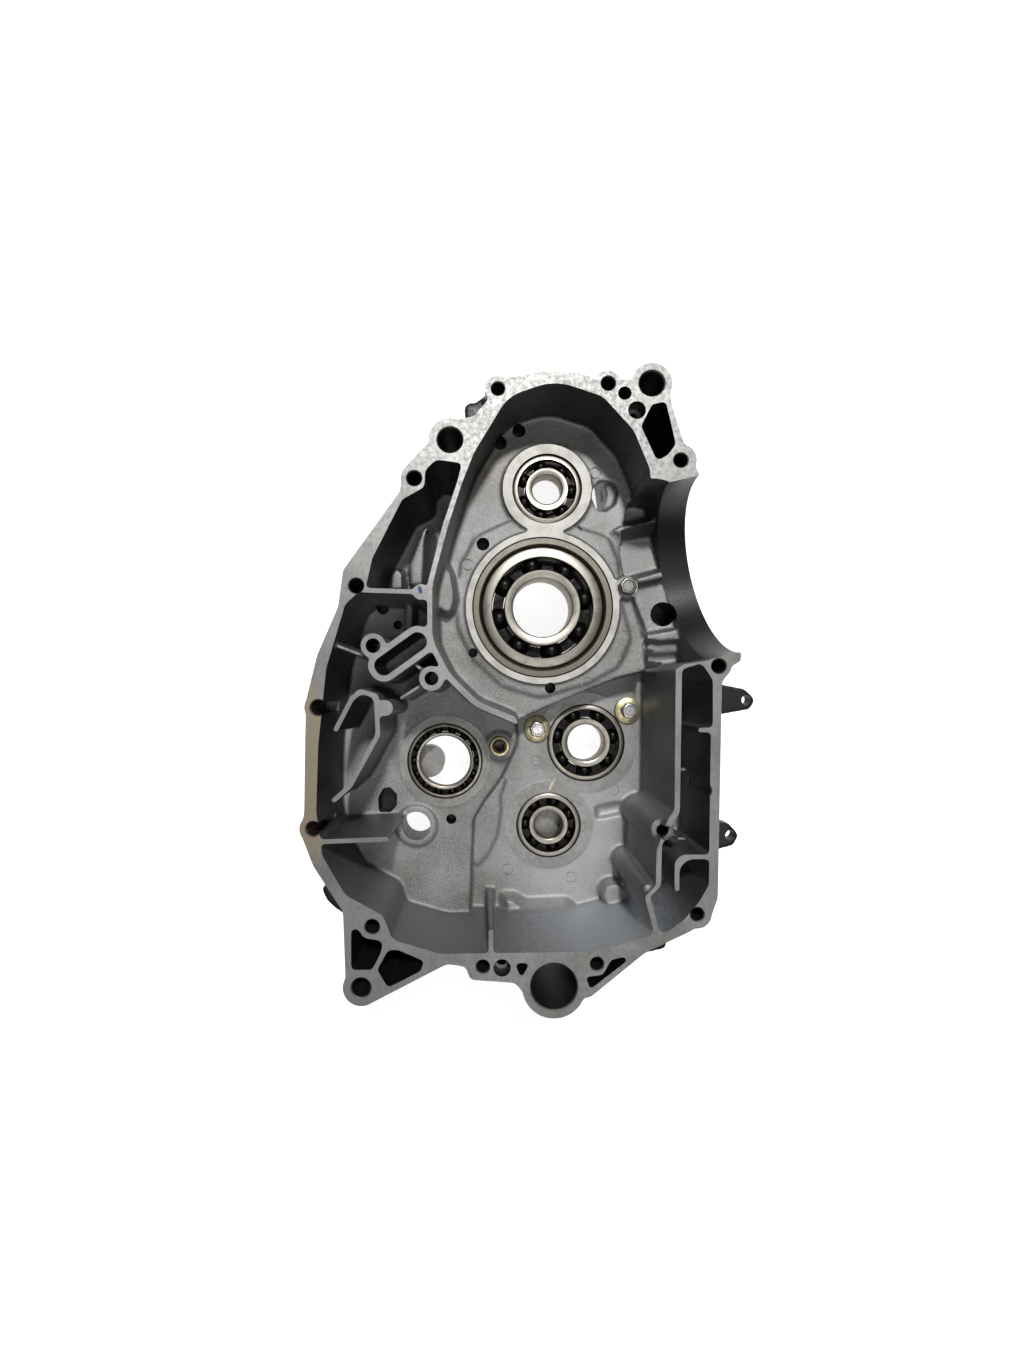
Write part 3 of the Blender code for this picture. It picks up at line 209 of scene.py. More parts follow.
# Chamfers at the mouths of the holes: depth, and how much wider the top is
SCREW_MOUTH = (0.5, 1.4)
MOUNT_MOUTH = (0.6, 1.5)
MOUTH_RISE = 1.0
# The plane that both milled faces cover, and the cutter's height
MILLED_PLANE = [
    (-130.0, -215.0, 0.0), (120.0, -215.0, 0.0), (120.0, 130.0, 0.0), (-130.0, 130.0, 0.0),
]
MILL_HEIGHT = 9.0

# Ribs: x, y and corner radius along the path. A low rib has only its two ends
OIL_BAFFLE = [
    (-98.9, -61.6, 0.0), (-91.1, -46.4, 2.5), (-87.0, -42.3, 2.5), (-79.6, -44.6, 2.0),
    (-78.7, -62.5, 3.0), (-91.6, -86.0, 6.0), (-100.3, -93.8, 0.0),
]
BREATHER_BAFFLE = [(75.2, -118.6, 0.0), (58.9, -118.6, 6.0), (58.9, -135.2, 0.0)]
STOUT_RIBS = [
    [(77.0, -60.2, 0.0), (67.6, -60.2, 0.0)], [(-105.8, -111.7, 0.0), (-72.7, -110.4, 0.0)],
    [(-87.5, 4.2, 0.0), (-58.9, 3.3, 0.0)], [(-26.7, -151.0, 0.0), (-26.7, -166.0, 0.0)],
]
LOW_RIBS = [
    (59.5, -79.0, 65.6, -79.0), (59.3, -111.5, 65.2, -111.5), (-100.5, -20.5, -83.3, -27.1),
    (-54.1, -36.5, -46.0, -31.0), (-54.1, -36.5, -69.9, -46.4), (-54.1, -36.5, -62.1, -29.9),
]
STOUT_RIB = 2.1
THIN_RIB = 1.8
LOW_RIB_DEPTH = 4.0
RIB_POSTS = [(-58.9, 3.3, 3.7), (-75.5, -50.1, 3.7)]
TUBE_POSTS = [(-81.0, -21.4, 3.4, 5.7), (-54.1, -36.5, 3.2, 5.7)]
TUBE_POST_BORE_DEPTH = 30.0
POST_FLARE = 0.6
OIL_SLOT_ENDS = ((-75.9, -30.6), (-60.7, -19.7))
OIL_SLOT_RADIUS = 4.4
OIL_SLOT_WALL = 2.8
OIL_SLOT_DEPTH = 38.0

SIDE_LUGS = [
    ([(77.2, -37.5, 0.5), (97.5, -41.5, 1.5), (103.0, -46.9, 3.5), (99.5, -51.5, 2.0),
      (77.2, -55.5, 0.5)], (98.2, -46.9, 2.5)),
    ([(76.2, -104.0, 0.5), (89.5, -107.0, 2.0), (95.0, -113.0, 4.0), (91.5, -118.0, 2.0),
      (76.2, -122.0, 0.5)], (90.5, -113.0, 2.7)),
]
SIDE_LUG_DEPTH = 18.0
SIDE_LUG_THICKNESS = 9.0
# Short cast lugs that show past the flange's edge
EDGE_LUGS = [
    [(-39.5, 93.0, 1.0), (-38.3, 94.9, 1.0), (-36.3, 95.9, 1.5), (-34.5, 95.5, 2.0),
     (-31.2, 97.8, 1.5), (-29.4, 99.5, 0.5), (-27.0, 94.9, 0.0), (-32.8, 87.2, 0.0),
     (-38.5, 87.2, 0.0)],
    [(-107.7, -136.7, 0.8), (-106.0, -135.5, 0.5), (-103.1, -136.7, 0.0), (-95.9, -146.2, 0.0),
     (-97.4, -149.1, 0.3), (-101.7, -146.0, 2.0), (-105.1, -142.8, 2.0), (-106.8, -139.5, 1.5)],
    [(46.9, -168.1, 0.5), (56.6, -165.9, 1.0), (57.9, -163.4, 0.8), (56.2, -161.5, 0.0),
     (47.1, -164.4, 0.0)],
]
EDGE_LUG_DEPTH = 12.0
EDGE_LUG_THICKNESS = 20.0

COVER_SCREWS = [
    (-24.0, 92.0), (32.0, 92.5), (57.0, 55.0), (78.0, -24.0), (73.5, -88.0), (63.0, -145.0),
    (14.0, -163.5), (-34.0, -164.5), (-82.0, -148.0), (-106.5, -100.0), (-99.0, -30.0),
    (-60.0, 44.0),
]
COVER_BOSS_RADIUS = 6.2
COVER_SCREW_RADIUS = 2.6
COVER_SCREW_DEPTH = 18.0

SHIFT_BORE = (-66.1, -115.0, 7.6, 10.8)
SHIFT_BOSS_BELOW = 8.0
SHIFT_BOSS_ABOVE = 1.5
STOP_BOSS = (-60.7, -82.2, 8.7)
STOP_BOSS_HEIGHT = 14.0
FLOOR_HOLES = [
    (-47.4, -111.5, 2.7, DRUM_FLOOR_Z), (-35.5, -23.1, 2.4, CRANK_FLOOR_Z),
    (4.0, -41.1, 2.8, CRANK_FLOOR_Z), (-30.4, 32.6, 3.3, CRANK_FLOOR_Z),
    (-11.9, 90.9, 3.4, CRANK_FLOOR_Z), (-21.6, 84.7, 3.4, CRANK_FLOOR_Z),
    (-76.0, -7.4, 2.4, DRUM_FLOOR_Z), (-84.0, 1.7, 3.4, DRUM_FLOOR_Z),
]
FLOOR_HOLE_DEPTH = 11.0
FLOOR_HOLE_WALL = 2.4
FLOOR_HOLE_END = 2.0
HOLE_RISE = 5.0
OIL_DRAIN = (63.8, -2.5, 6.4)
OIL_DRAIN_BELOW = 30.0
# Metal left under the blind oilways
OILWAY_END = 3.0
SUMP_POST = (39.4, -151.5, 6.4)
SUMP_POST_HEIGHT = 12.0
SUMP_POST_TAPER = 0.5

# Raised forms with leaning sides: foot, top, lean in degrees, then the outline of the foot
RELIEFS = {
    "spigot_shelf": (40.0, 56.0, 20.0, [
        (32.7, 37.8, 2.0), (35.8, 42.9, 3.0), (44.5, 47.0, 4.0), (61.2, 51.5, 3.0),
        (65.3, 39.3, 4.0), (49.5, 36.8, 6.0), (40.9, 35.8, 3.0), (36.8, 32.2, 2.0)]),
    "oil_drain_land": (40.0, 46.0, 15.0, [
        (46.7, 14.4, 2.0), (64.5, 19.7, 2.0), (68.2, 18.1, 2.0), (71.9, 1.3, 2.0),
        (78.2, -11.8, 2.0), (54.6, -14.9, 2.0), (53.0, -9.2, 2.0), (47.8, 3.9, 2.0)]),
    "spigot_rib_upper": (40.0, 53.0, 14.0, [
        (43.3, 10.4, 2.0), (43.8, 17.1, 2.0), (61.8, 22.2, 2.0), (68.5, 20.7, 2.0),
        (68.5, 14.0, 2.0), (50.5, 9.9, 2.0)]),
    "spigot_rib_lower": (40.0, 51.0, 16.0, [
        (51.5, -18.3, 2.0), (51.5, -11.1, 2.0), (71.7, -7.5, 2.0), (79.5, -11.6, 2.0),
        (78.9, -18.3, 2.0), (61.4, -19.8, 2.0)]),
    "spigot_foot": (40.0, 45.5, 30.0, [
        (54.8, -15.9, 2.0), (79.5, -12.8, 2.0), (85.3, -22.2, 2.0), (73.2, -25.3, 2.0),
        (57.5, -25.9, 2.0), (52.2, -21.2, 2.0)]),
    "chamber_bulge": (50.0, 63.0, 12.0, [
        (-49.0, 26.3, 3.0), (-43.7, 15.8, 4.0), (-42.0, 4.2, 4.0), (-43.7, -3.9, 4.0),
        (-49.0, -6.4, 4.0), (-54.5, -2.8, 3.0), (-55.0, 8.2, 3.0), (-53.0, 18.8, 3.0)]),
    "main_pad": (50.0, 54.3, 30.0, [
        (-15.0, 47.5, 3.0), (-24.2, 43.4, 3.0), (-31.9, 39.8, 3.0), (-36.5, 36.7, 3.0),
        (-39.1, 31.1, 3.0), (-43.2, 24.4, 6.0), (-46.3, 9.1, 9.0), (-45.3, -11.4, 9.0),
        (-37.0, -27.8, 9.0), (-21.7, -42.1, 9.0), (-1.2, -48.3, 9.0), (24.4, -40.7, 9.0),
        (40.8, -31.9, 9.0), (47.5, -16.5, 6.0), (42.3, 4.0, 6.0), (40.8, 24.4, 6.0),
        (35.7, 37.2, 5.0), (29.5, 39.8, 5.0), (9.1, 46.0, 5.0)]),
    "channel_column": (36.0, 66.0, 7.0, [
        (-69.5, 6.3, 4.0), (-70.5, 19.9, 6.0), (-66.1, 31.5, 5.0), (-62.3, 40.2, 5.0),
        (-55.0, 42.1, 5.0), (-55.9, 28.1, 5.0), (-56.9, 6.3, 5.0)]),
    "channel_bump": (36.0, 58.0, 7.0, [
        (-79.8, 6.8, 3.0), (-78.7, 17.9, 4.0), (-74.2, 23.0, 3.0), (-69.1, 17.9, 3.0),
        (-68.6, 6.8, 3.0)]),
    "channel_pillar": (36.0, 54.0, 3.0, [
        (-71.6, -11.7, 1.5), (-71.1, 1.1, 2.0), (-67.5, 4.2, 2.5), (-65.4, -0.4, 2.0),
        (-65.9, -11.7, 1.5)]),
    "floor_leaf": (28.0, 31.3, 30.0, [
        (-16.7, -87.2, 2.0), (-20.0, -97.1, 6.0), (-18.9, -108.0, 9.0), (-21.1, -122.3, 12.0),
        (-26.6, -133.7, 9.0), (-34.2, -141.3, 2.0), (-37.4, -135.4, 2.0), (-36.9, -113.5, 5.0),
        (-30.8, -102.6, 6.0), (-24.3, -93.8, 6.0)]),
    "bottom_shelf": (28.5, 35.5, 45.0, [
        (-23.5, -150.5, 7.2), (-12.8, -150.5, 7.2), (-6.2, -154.4, 5.0), (16.3, -153.3, 7.2),
        (25.0, -161.0, 7.2), (27.0, -176.0, 7.2), (-23.5, -176.0, 7.2)]),
}
FLOOR_GROOVE = [(30.0, -105.6, 3.0), (47.2, -102.2, 3.0), (48.0, -111.2, 3.0), (30.8, -114.8, 3.0)]
GROOVE_DEPTH = 2.4
GROOVE_RISE = 0.6
GROOVE_DRAFT = 42.0
# Tapered columns under the bosses of the right wall: x, y, foot and top radius, top height
WALL_COLUMNS = [(53.8, -107.6, 8.2, 5.6, 82.0), (46.4, -134.3, 6.5, 2.6, 86.0)]
# A notch beside the balancer bearing: its cast pocket, and the part of it that goes through
NOTCH_POCKET = [
    (24.9, 60.2, 2.5), (28.5, 65.8, 2.5), (33.7, 66.9, 2.5), (38.3, 65.3, 2.5), (40.9, 59.6, 2.5),
    (38.9, 52.4, 2.5), (33.2, 48.3, 2.5), (28.5, 48.8, 2.5), (25.4, 54.5, 2.5),
]
NOTCH_OPENING = [
    (26.1, 61.5, 1.5), (29.2, 65.1, 1.5), (32.3, 65.6, 1.5), (33.9, 60.4, 1.5), (32.8, 54.7, 1.5),
    (30.3, 49.6, 1.5), (27.7, 51.6, 1.5), (25.6, 56.8, 1.5),
]
NOTCH_DEPTH = 4.0
NOTCH_RISE = 6.0
NOTCH_DRAFT = 12.0
NOTCH_OPENING_DEPTH = 14.0
DRUM_POCKET = [
    (-86.7, -100.2, 1.5), (-84.0, -94.9, 1.5), (-80.3, -94.3, 1.5), (-76.5, -98.1, 1.5),
    (-76.5, -104.0, 1.5), (-79.8, -107.8, 1.5), (-86.2, -107.8, 1.5),
]
DRUM_POCKET_END = 2.0
FACE_POCKET = (34.9, 94.8, 3.2)
FACE_POCKET_DEPTH = 22.0
# Cuts that are black inside: the bore was painted, and the blind holes and the drum pocket are made
# black as painted shade
PAINT_AND_SHADE_CUTS = ("spigot_bore", "floor_hole", "oil_drain", "cored_drum_pocket")
FACED_CUTS = ("main_spot_face", "balancer_spot_face")
# Rings left by the die's ejector pins: x, y and the floor's height
EJECTOR_MARKS = [
    (27.2, 69.3, 53.0), (-38.1, 21.9, 54.3), (-23.2, -38.0, 54.3), (22.9, -38.5, 54.3),
    (43.4, -9.9, 54.3), (-67.4, -58.9, 38.0), (-1.3, -81.3, 30.0), (41.3, -97.2, 30.0),
    (-16.9, -140.6, 30.0), (17.9, -145.0, 30.0),
]
EJECTOR_RADIUS = 3.0
EJECTOR_RING = 0.55
EJECTOR_DEPTH = 0.7
EJECTOR_RISE = 1.5

# Bearings: x, y, face height, outer and bore diameter, width, ball diameter, balls, pitch radius
BEARINGS = {
    "main": (0.0, 0.0, 55.0, 62.0, 30.0, 16.0, 9.5, 8, 22.6),
    "balancer": (2.3, 60.5, 55.0, 35.0, 15.0, 11.0, 6.0, 7, 12.9),
    "input": (26.1, -71.3, 30.0, 42.0, 20.0, 12.0, 7.2, 7, 15.8),
    "output": (5.6, -116.5, 30.0, 35.0, 15.0, 11.0, 6.0, 7, 12.7),
    "drum": (-50.8, -80.4, 38.0, 40.0, 27.0, 7.0, 4.0, 14, 16.75),
}
CAGE_TURNS = {"main": 13.0, "input": 12.0, "output": 25.0}
BOSS_WALL = {"main": 3.3, "balancer": 5.0, "input": 5.0, "output": 5.0, "drum": 3.0}
SEAT_GAP = 0.3
INSERT_WALL = 4.3
SHOULDER_THICKNESS = 3.0
SHOULDER_WIDTH = 4.5
BLIND_END = 1.4
MAIN_BOSS_HEIGHT = 3.0
BOSS_FLARE = 0.4
SEAT_RISE = 6.0
# Metal cast on top of a boss for facing, and how far the facing cut runs out and up
MAIN_FACING = 0.8
FLOOR_FACING = 0.7
STOP_FACING = 0.6
SPOT_MARGIN = 1.2
SPOT_RISE = 4.0
# Bearing details: groove to ball, land to ball, the land's edge, then the cage, in shares of a ball
TRACK_FIT = 1.03
LAND_SHARE = 0.33
LAND_EDGE = 0.3
ARC_STEPS = 14
CAGE_GAP = 0.45
CAGE_SHEET = 0.085
DOME_GAP = 0.12
RIVET_FOOT = 0.16
RIVET_CROWN = 0.13
RIVET_HEIGHT = 0.1

RETAINER_BOLTS = {"retainer_bolt_lower": (-0.9, -63.6), "retainer_bolt_upper": (48.9, -53.6)}
RETAINER_WASHERS = {"retainer_bolt_lower": "retainer_washer_lower",
                    "retainer_bolt_upper": "retainer_washer_upper"}
STOP_BOLT = (42.8, 10.3)
STOP_BOLT_FACE = CRANK_FLOOR_Z + MAIN_BOSS_HEIGHT - 0.2
BOLT_LENGTH = 12.0
BLIND_WALL = 2.5
BOLT_BOSS_RADIUS = 6.0
BOLT_HOLE_RADIUS = 3.2
BOLT_SPOT_RADIUS = 5.6
HEAD_ACROSS = 8.0
HEAD_HEIGHT = 4.6
HEAD_TURN = 0.3
WASHER_SPOT_RADIUS = 7.9
WASHER_BORE = 3.3
WASHER_HEIGHT = 2.0
OIL_SLEEVE = (-21.5, -72.4)
SLEEVE_FACE_Z = DRUM_FLOOR_Z + 1.0
SLEEVE_BORE = 2.7
SLEEVE_SEAT_RADIUS = 4.5
SLEEVE_SEAT_DEPTH = 5.0
SLEEVE_SPOT_RADIUS = 6.0
SLEEVE_BOSS_RADIUS = 7.5

# Inspection paint: x, y, height, half length, half width, turn in degrees, colour
CAST_DABS = [
    (16.9, 87.6, 53.0, 6.8, 0.5, -99.0, "#A39A84"),
    (-38.2, -98.9, 38.0, 2.8, 0.9, -54.0, "#BDB69F"),
    (39.3, -87.9, 30.0, 2.4, 0.9, -56.0, "#CFC8AC"), (45.4, 8.1, 52.5, 2.4, 1.0, -66.0, "#D8CDA6"),
    (19.2, 41.1, 54.0, 2.2, 0.9, -63.0, "#34466E"),
]
# Painted light: a broad lighter patch on the low floor of the gear chamber, where the light falls
# brighter
PAINTED_LIGHT_PATCHES = [(18.0, -122.0, 30.0, 56.0, 38.0, 70.0, "#DADBDC")]
# Painted shade on the walls that face away from the light, and one painted lit patch on the bottom
# wall, in plan only
WALL_SHADE_AND_LIGHT = [
    (20.0, 92.0, 50.0, 48.0, 30.0, -10.0, "#2B2B2C"),
    (60.0, 40.0, 50.0, 42.0, 20.0, -80.0, "#2B2B2D"),
    (-103.0, -70.0, 50.0, 78.0, 18.0, 92.0, "#2F2F30"),
    (-72.0, 44.0, 50.0, 44.0, 16.0, 50.0, "#303031"),
    (68.0, -90.0, 50.0, 66.0, 9.0, 90.0, "#343538"),
    (-36.0, 68.0, 50.0, 40.0, 13.0, 62.0, "#161617"),
    (34.0, -160.0, 50.0, 46.0, 16.0, 8.0, "#D4D9E0"),
]
MILLED_DABS = [
    (1.4, 101.9, 88.0, 2.4, 0.5, -103.0, "#C9C0A2"),
    (7.5, -94.0, 30.0, 4.2, 0.8, -117.0, "#D6CDAE"),
    (-59.3, 4.3, 88.0, 2.0, 1.0, -74.0, "#2E4377"),
    (-112.5, -76.0, 88.0, 50.0, 13.0, 94.0, "#AEA28E"),
]

# Studio light: a small hard key, a broad weak top light, a dim sky and a floor that reads as white
KEY_PLACE = (0.14, 1.05, 2.1)
KEY_SIZE = 0.2
TOP_PLACE = (0.1, -0.35, 1.25)
TOP_SIZE = 0.7
TOP_SHARE = 0.085
SKY_FILL = 0.006
SKY_GLOSS = 0.05
FLOOR_GLOW = 0.85

# Camera, measured from the photograph
CAMERA_DISTANCE = 300.0
SENSOR_WIDTH = 36.0
AXIS_PIXEL = (483.0, 684.0)
FOCAL_PIXELS = 652.0
IMAGE_SIZE = (1024.0, 1365.0)
AXIS_PLACE = (-30.38, -39.06)


def linear(hex_colour):
    """An sRGB hex colour as linear RGBA."""
    channels = [int(hex_colour[i:i + 2], 16) / 255.0 for i in (1, 3, 5)]
    return (*(c / 12.92 if c <= 0.04045 else ((c + 0.055) / 1.055) ** 2.4 for c in channels), 1.0)


def place(x, y, z=0.0):
    return Vector(((x + CRANK_X) * MM, (y + CRANK_Y) * MM, z * MM))


# Shapes

def round_corners(shape, face, corners):
    """Bevels each corner of a flat face to its radius."""
    verts = list(face.verts)
    count = len(verts)
    reaches = []
    for i, (x, y, radius) in enumerate(corners):
        here = Vector((x, y))
        before = Vector(corners[i - 1][:2]) - here
        after = Vector(corners[(i + 1) % count][:2]) - here
        half = before.angle(after) / 2.0
        reach = min(radius / math.tan(half), EDGE_SHARE * before.length, EDGE_SHARE * after.length)
        reaches.append((reach, half))
    for vert, (reach, half) in zip(verts, reaches):
        if reach < SMALLEST_REACH:
            continue
        turn = math.pi - 2.0 * half
        steps = max(2, math.ceil(turn * math.sqrt(reach * math.tan(half)) * ARC_FINENESS))
        bmesh.ops.bevel(
            shape, geom=[vert], offset=reach * MM, offset_type="OFFSET", segments=steps,
            profile=0.5, affect="VERTICES", material=-1, clamp_overlap=False)


def finish_mesh(shape, name):
    mesh = bpy.data.meshes.new(name)
    shape.to_mesh(mesh)
    shape.free()
    return mesh


def new_object(name, mesh, collection=None):
    obj = bpy.data.objects.new(name, mesh)
    (collection or bpy.context.scene.collection).objects.link(obj)
    return obj


def outline_face(corners, height):
    """A new shape with one flat face on a rounded outline, its corners run anticlockwise."""
    shape = bmesh.new()
    area = sum(a[0] * b[1] - b[0] * a[1] for a, b in zip(corners, corners[1:] + corners[:1]))
    ordered = corners[::-1] if area < 0.0 else corners
    face = shape.faces.new([shape.verts.new(place(x, y, height)) for x, y, _ in ordered])
    round_corners(shape, face, ordered)
    return shape


def slab(name, corners, low, high, collection, draft=0.0):
    """A rounded outline given its height by an inset push, which also gives the draft."""
    shape = outline_face(corners, high)
    bmesh.ops.remove_doubles(shape, verts=shape.verts, dist=2e-5)
    lid = bmesh.ops.duplicate(shape, geom=list(shape.faces) + list(shape.edges) + list(shape.verts))
    top = [e for e in lid["geom"] if isinstance(e, bmesh.types.BMFace)]
    base = [f for f in shape.faces if f not in top]
    thickness = (high - low) * math.tan(math.radians(draft)) * MM
    if draft:
        bmesh.ops.inset_region(
            shape, faces=base, thickness=thickness, depth=-(high - low) * MM, use_even_offset=True,
            use_boundary=True)
    else:
        pushed = bmesh.ops.extrude_face_region(shape, geom=base)
        moved = [v for v in pushed["geom"] if isinstance(v, bmesh.types.BMVert)]
        bmesh.ops.translate(shape, verts=moved, vec=(0.0, 0.0, (low - high) * MM))
        bmesh.ops.delete(shape, geom=base, context="FACES_ONLY")
    bmesh.ops.remove_doubles(shape, verts=shape.verts, dist=1e-6)
    bmesh.ops.recalc_face_normals(shape, faces=shape.faces)
    return new_object(name, finish_mesh(shape, name), collection)


def inset_corners(corners, distance):
    """The same closed outline moved inwards, its corner radii with it. Corners run clockwise."""
    moved = []
    for i, (x, y, radius) in enumerate(corners):
        here = Vector((x, y))
        into = (here - Vector(corners[i - 1][:2])).normalized()
        out = (Vector(corners[(i + 1) % len(corners)][:2]) - here).normalized()
        inward = Vector((into.y + out.y, -into.x - out.x)).normalized()
        spread = max(0.4, inward.dot(Vector((into.y, -into.x))))
        turn = into.x * out.y - into.y * out.x
        shift = here + inward * (distance / spread)
        moved.append((shift.x, shift.y, max(0.3, radius + (distance if turn > 0.0 else -distance))))
    return moved


def post(name, x, y, radius, low, high, collection, segments=48, top_radius=None):
    shape = bmesh.new()
    bmesh.ops.create_cone(
        shape, cap_ends=True, segments=segments, radius1=radius * MM,
        radius2=(top_radius or radius) * MM, depth=(high - low) * MM)
    bmesh.ops.translate(shape, verts=shape.verts, vec=place(x, y, (low + high) / 2.0))
    return new_object(name, finish_mesh(shape, name), collection)


def mound(name, corners, low, high, collection, lean):
    """A raised form on an outline, its sides leaning in as they rise."""
    shape = outline_face(corners, low)
    base = list(shape.faces)
    bmesh.ops.duplicate(shape, geom=base + list(shape.edges) + list(shape.verts))
    bmesh.ops.inset_region(
        shape, faces=base, thickness=(high - low) * math.tan(math.radians(lean)) * MM,
        depth=(high - low) * MM, use_even_offset=True, use_boundary=True)
    bmesh.ops.remove_doubles(shape, verts=shape.verts, dist=1e-6)
    bmesh.ops.recalc_face_normals(shape, faces=shape.faces)
    return new_object(name, finish_mesh(shape, name), collection)


def rib(name, path, thickness, low, high, collection, draft=0.8):
    """A cast rib along a path, thicker at its foot."""
    points = [Vector((x, y)) for x, y, _ in path]
    radii = [r for _, _, r in path]
    left, right = [], []
    foot = thickness / 2.0 + (high - low) * math.tan(math.radians(draft))
    for i, here in enumerate(points):
        into = (here - points[i - 1]).normalized() if i else (points[1] - here).normalized()
        out = (points[i + 1] - here).normalized() if i < len(points) - 1 else into
        along = (into + out).normalized()
        across = Vector((-along.y, along.x)) / max(0.5, along.dot(into))
        left.append((here + across * foot, radii[i]))
        right.append((here - across * foot, radii[i]))
    corners = [(p.x, p.y, r) for p, r in right] + [(p.x, p.y, r) for p, r in left[::-1]]
    return mound(name, corners, low, high, collection, draft)


def stadium(radius):
    """The oil slot's outline, as corners for slab: its round ends are one half circle each."""
    first, second = (Vector(end) for end in OIL_SLOT_ENDS)
    along = (second - first).normalized() * radius
    across = Vector((-along.y, along.x))
    ends = [first - along - across, second + along - across, second + along + across,
            first - along + across]
    return [(p.x, p.y, radius * 0.999) for p in ends]


def hidden(name):
    collection = bpy.data.collections.new(name)
    bpy.context.scene.collection.children.link(collection)
    collection.hide_render = True
    return collection


def drop(collection):
    for obj in list(collection.objects):
        mesh = obj.data
        bpy.data.objects.remove(obj, do_unlink=True)
        bpy.data.meshes.remove(mesh)
    bpy.data.collections.remove(collection)


def boolean(obj, operation, collection):
    modifier = obj.modifiers.new(operation.title(), "BOOLEAN")
    modifier.operation = operation
    modifier.solver = "MANIFOLD"
    modifier.operand_type = "COLLECTION"
    modifier.collection = collection


def bake_modifiers(obj):
    """Applies the object's modifiers to its mesh."""
    graph = bpy.context.evaluated_depsgraph_get()
    graph.update()
    mesh = bpy.data.meshes.new_from_object(obj.evaluated_get(graph))
    old = obj.data
    obj.modifiers.clear()
    obj.data = mesh
    bpy.data.meshes.remove(old)


def seat_height(name):
    return BEARINGS[name][2] - BEARINGS[name][5] - SEAT_GAP


def seat_radius(name):
    outer = BEARINGS[name][3] / 2.0 + SEAT_GAP
    return outer + INSERT_WALL + SEAT_GAP if name == "main" else outer


# The casting

def cast_blank(blank):
    """The outside: a prism between two flanges, with a column under each screw boss."""
    top = PARTING_Z + STOCK
    slab("flange_top", OUTER_EDGE, PARTING_Z - FLANGE, top, blank)
    slab("flange_bottom", OUTER_EDGE, -STOCK, FLANGE, blank)
    for i, (x, y, _, boss) in enumerate(FACE_SCREWS):
        low = GEAR_FLOOR_Z - LAST_SCREW_ROOT if i == len(FACE_SCREWS) - 1 else -STOCK
        post(f"screw_boss_{i}", x, y, boss, low, top, blank)
    for i, (x, y, _, boss) in enumerate(MOUNT_HOLES):
        post(f"mount_boss_{i}", x, y, boss, -STOCK, top, blank)
    post("dowel_boss", *DOWEL_HOLES[1][:2], DOWEL_BOSS_RADIUS, -STOCK, top, blank)
    front, rear = Vector(DECK_FRONT), Vector(DECK_REAR)
    outward = Vector((front.y - rear.y, rear.x - front.x)).normalized()
    strip = [front - outward * DECK_BLOCK, front + outward * STOCK, rear + outward * STOCK,
             rear - outward * DECK_BLOCK]
    slab("deck_block", [(p.x, p.y, 0.0) for p in strip], -STOCK, top, blank)
    high = PARTING_Z - SIDE_LUG_DEPTH
    for i, (outline, _) in enumerate(SIDE_LUGS):
        slab(f"side_lug_{i}", outline, high - SIDE_LUG_THICKNESS, high, blank)
    high = PARTING_Z - EDGE_LUG_DEPTH
    for i, outline in enumerate(EDGE_LUGS):
        slab(f"edge_lug_{i}", outline, high - EDGE_LUG_THICKNESS, high, blank)
    for i, (x, y) in enumerate(COVER_SCREWS):
        post(f"cover_column_{i}", x, y, COVER_BOSS_RADIUS, -STOCK, CLUTCH_TOP_Z + ROOT, blank)


def cast_hollows(hollows):
    """The chambers and pockets that the die leaves open."""
    top = PARTING_Z + STOCK + HOLLOW_MARGIN
    bottom = -STOCK - HOLLOW_MARGIN
    for name, outline, low, draft in (
            ("crank_chamber", CRANK_CHAMBER, CRANK_FLOOR_Z, DRAFT_DEGREES),
            ("spigot_channel", SPIGOT_CHANNEL, CHANNEL_FLOOR_Z, CHANNEL_DRAFT),
            ("gear_chamber", GEAR_CHAMBER, GEAR_FLOOR_Z, DRAFT_DEGREES),
            ("breather_chamber", BREATHER_CHAMBER, BREATHER_FLOOR_Z, BREATHER_DRAFT)):
        slab(name, outline, low, top, hollows, draft)
    for i, pocket in enumerate(LUG_POCKETS):
        slab(f"lug_pocket_{i}", pocket, PARTING_Z - LUG_POCKET_DEPTH, top, hollows, POCKET_DRAFT)
    slab("floor_groove", FLOOR_GROOVE, GEAR_FLOOR_Z - GROOVE_DEPTH, GEAR_FLOOR_Z + GROOVE_RISE,
         hollows, GROOVE_DRAFT)
    slab("notch_pocket", NOTCH_POCKET, CRANK_FLOOR_Z - NOTCH_DEPTH, CRANK_FLOOR_Z + NOTCH_RISE,
         hollows, NOTCH_DRAFT)
    slab("notch_opening", NOTCH_OPENING, CRANK_FLOOR_Z - NOTCH_OPENING_DEPTH,
         CRANK_FLOOR_Z + HOLLOW_MARGIN, hollows)
    post("face_pocket", *FACE_POCKET, PARTING_Z - FACE_POCKET_DEPTH, top, hollows)
    slab("clutch_chamber", CLUTCH_CHAMBER, bottom, CLUTCH_TOP_Z, hollows)
    slab("crank_recess", CRANK_RECESS, bottom, CRANK_FLOOR_Z - FLOOR_WALL, hollows)


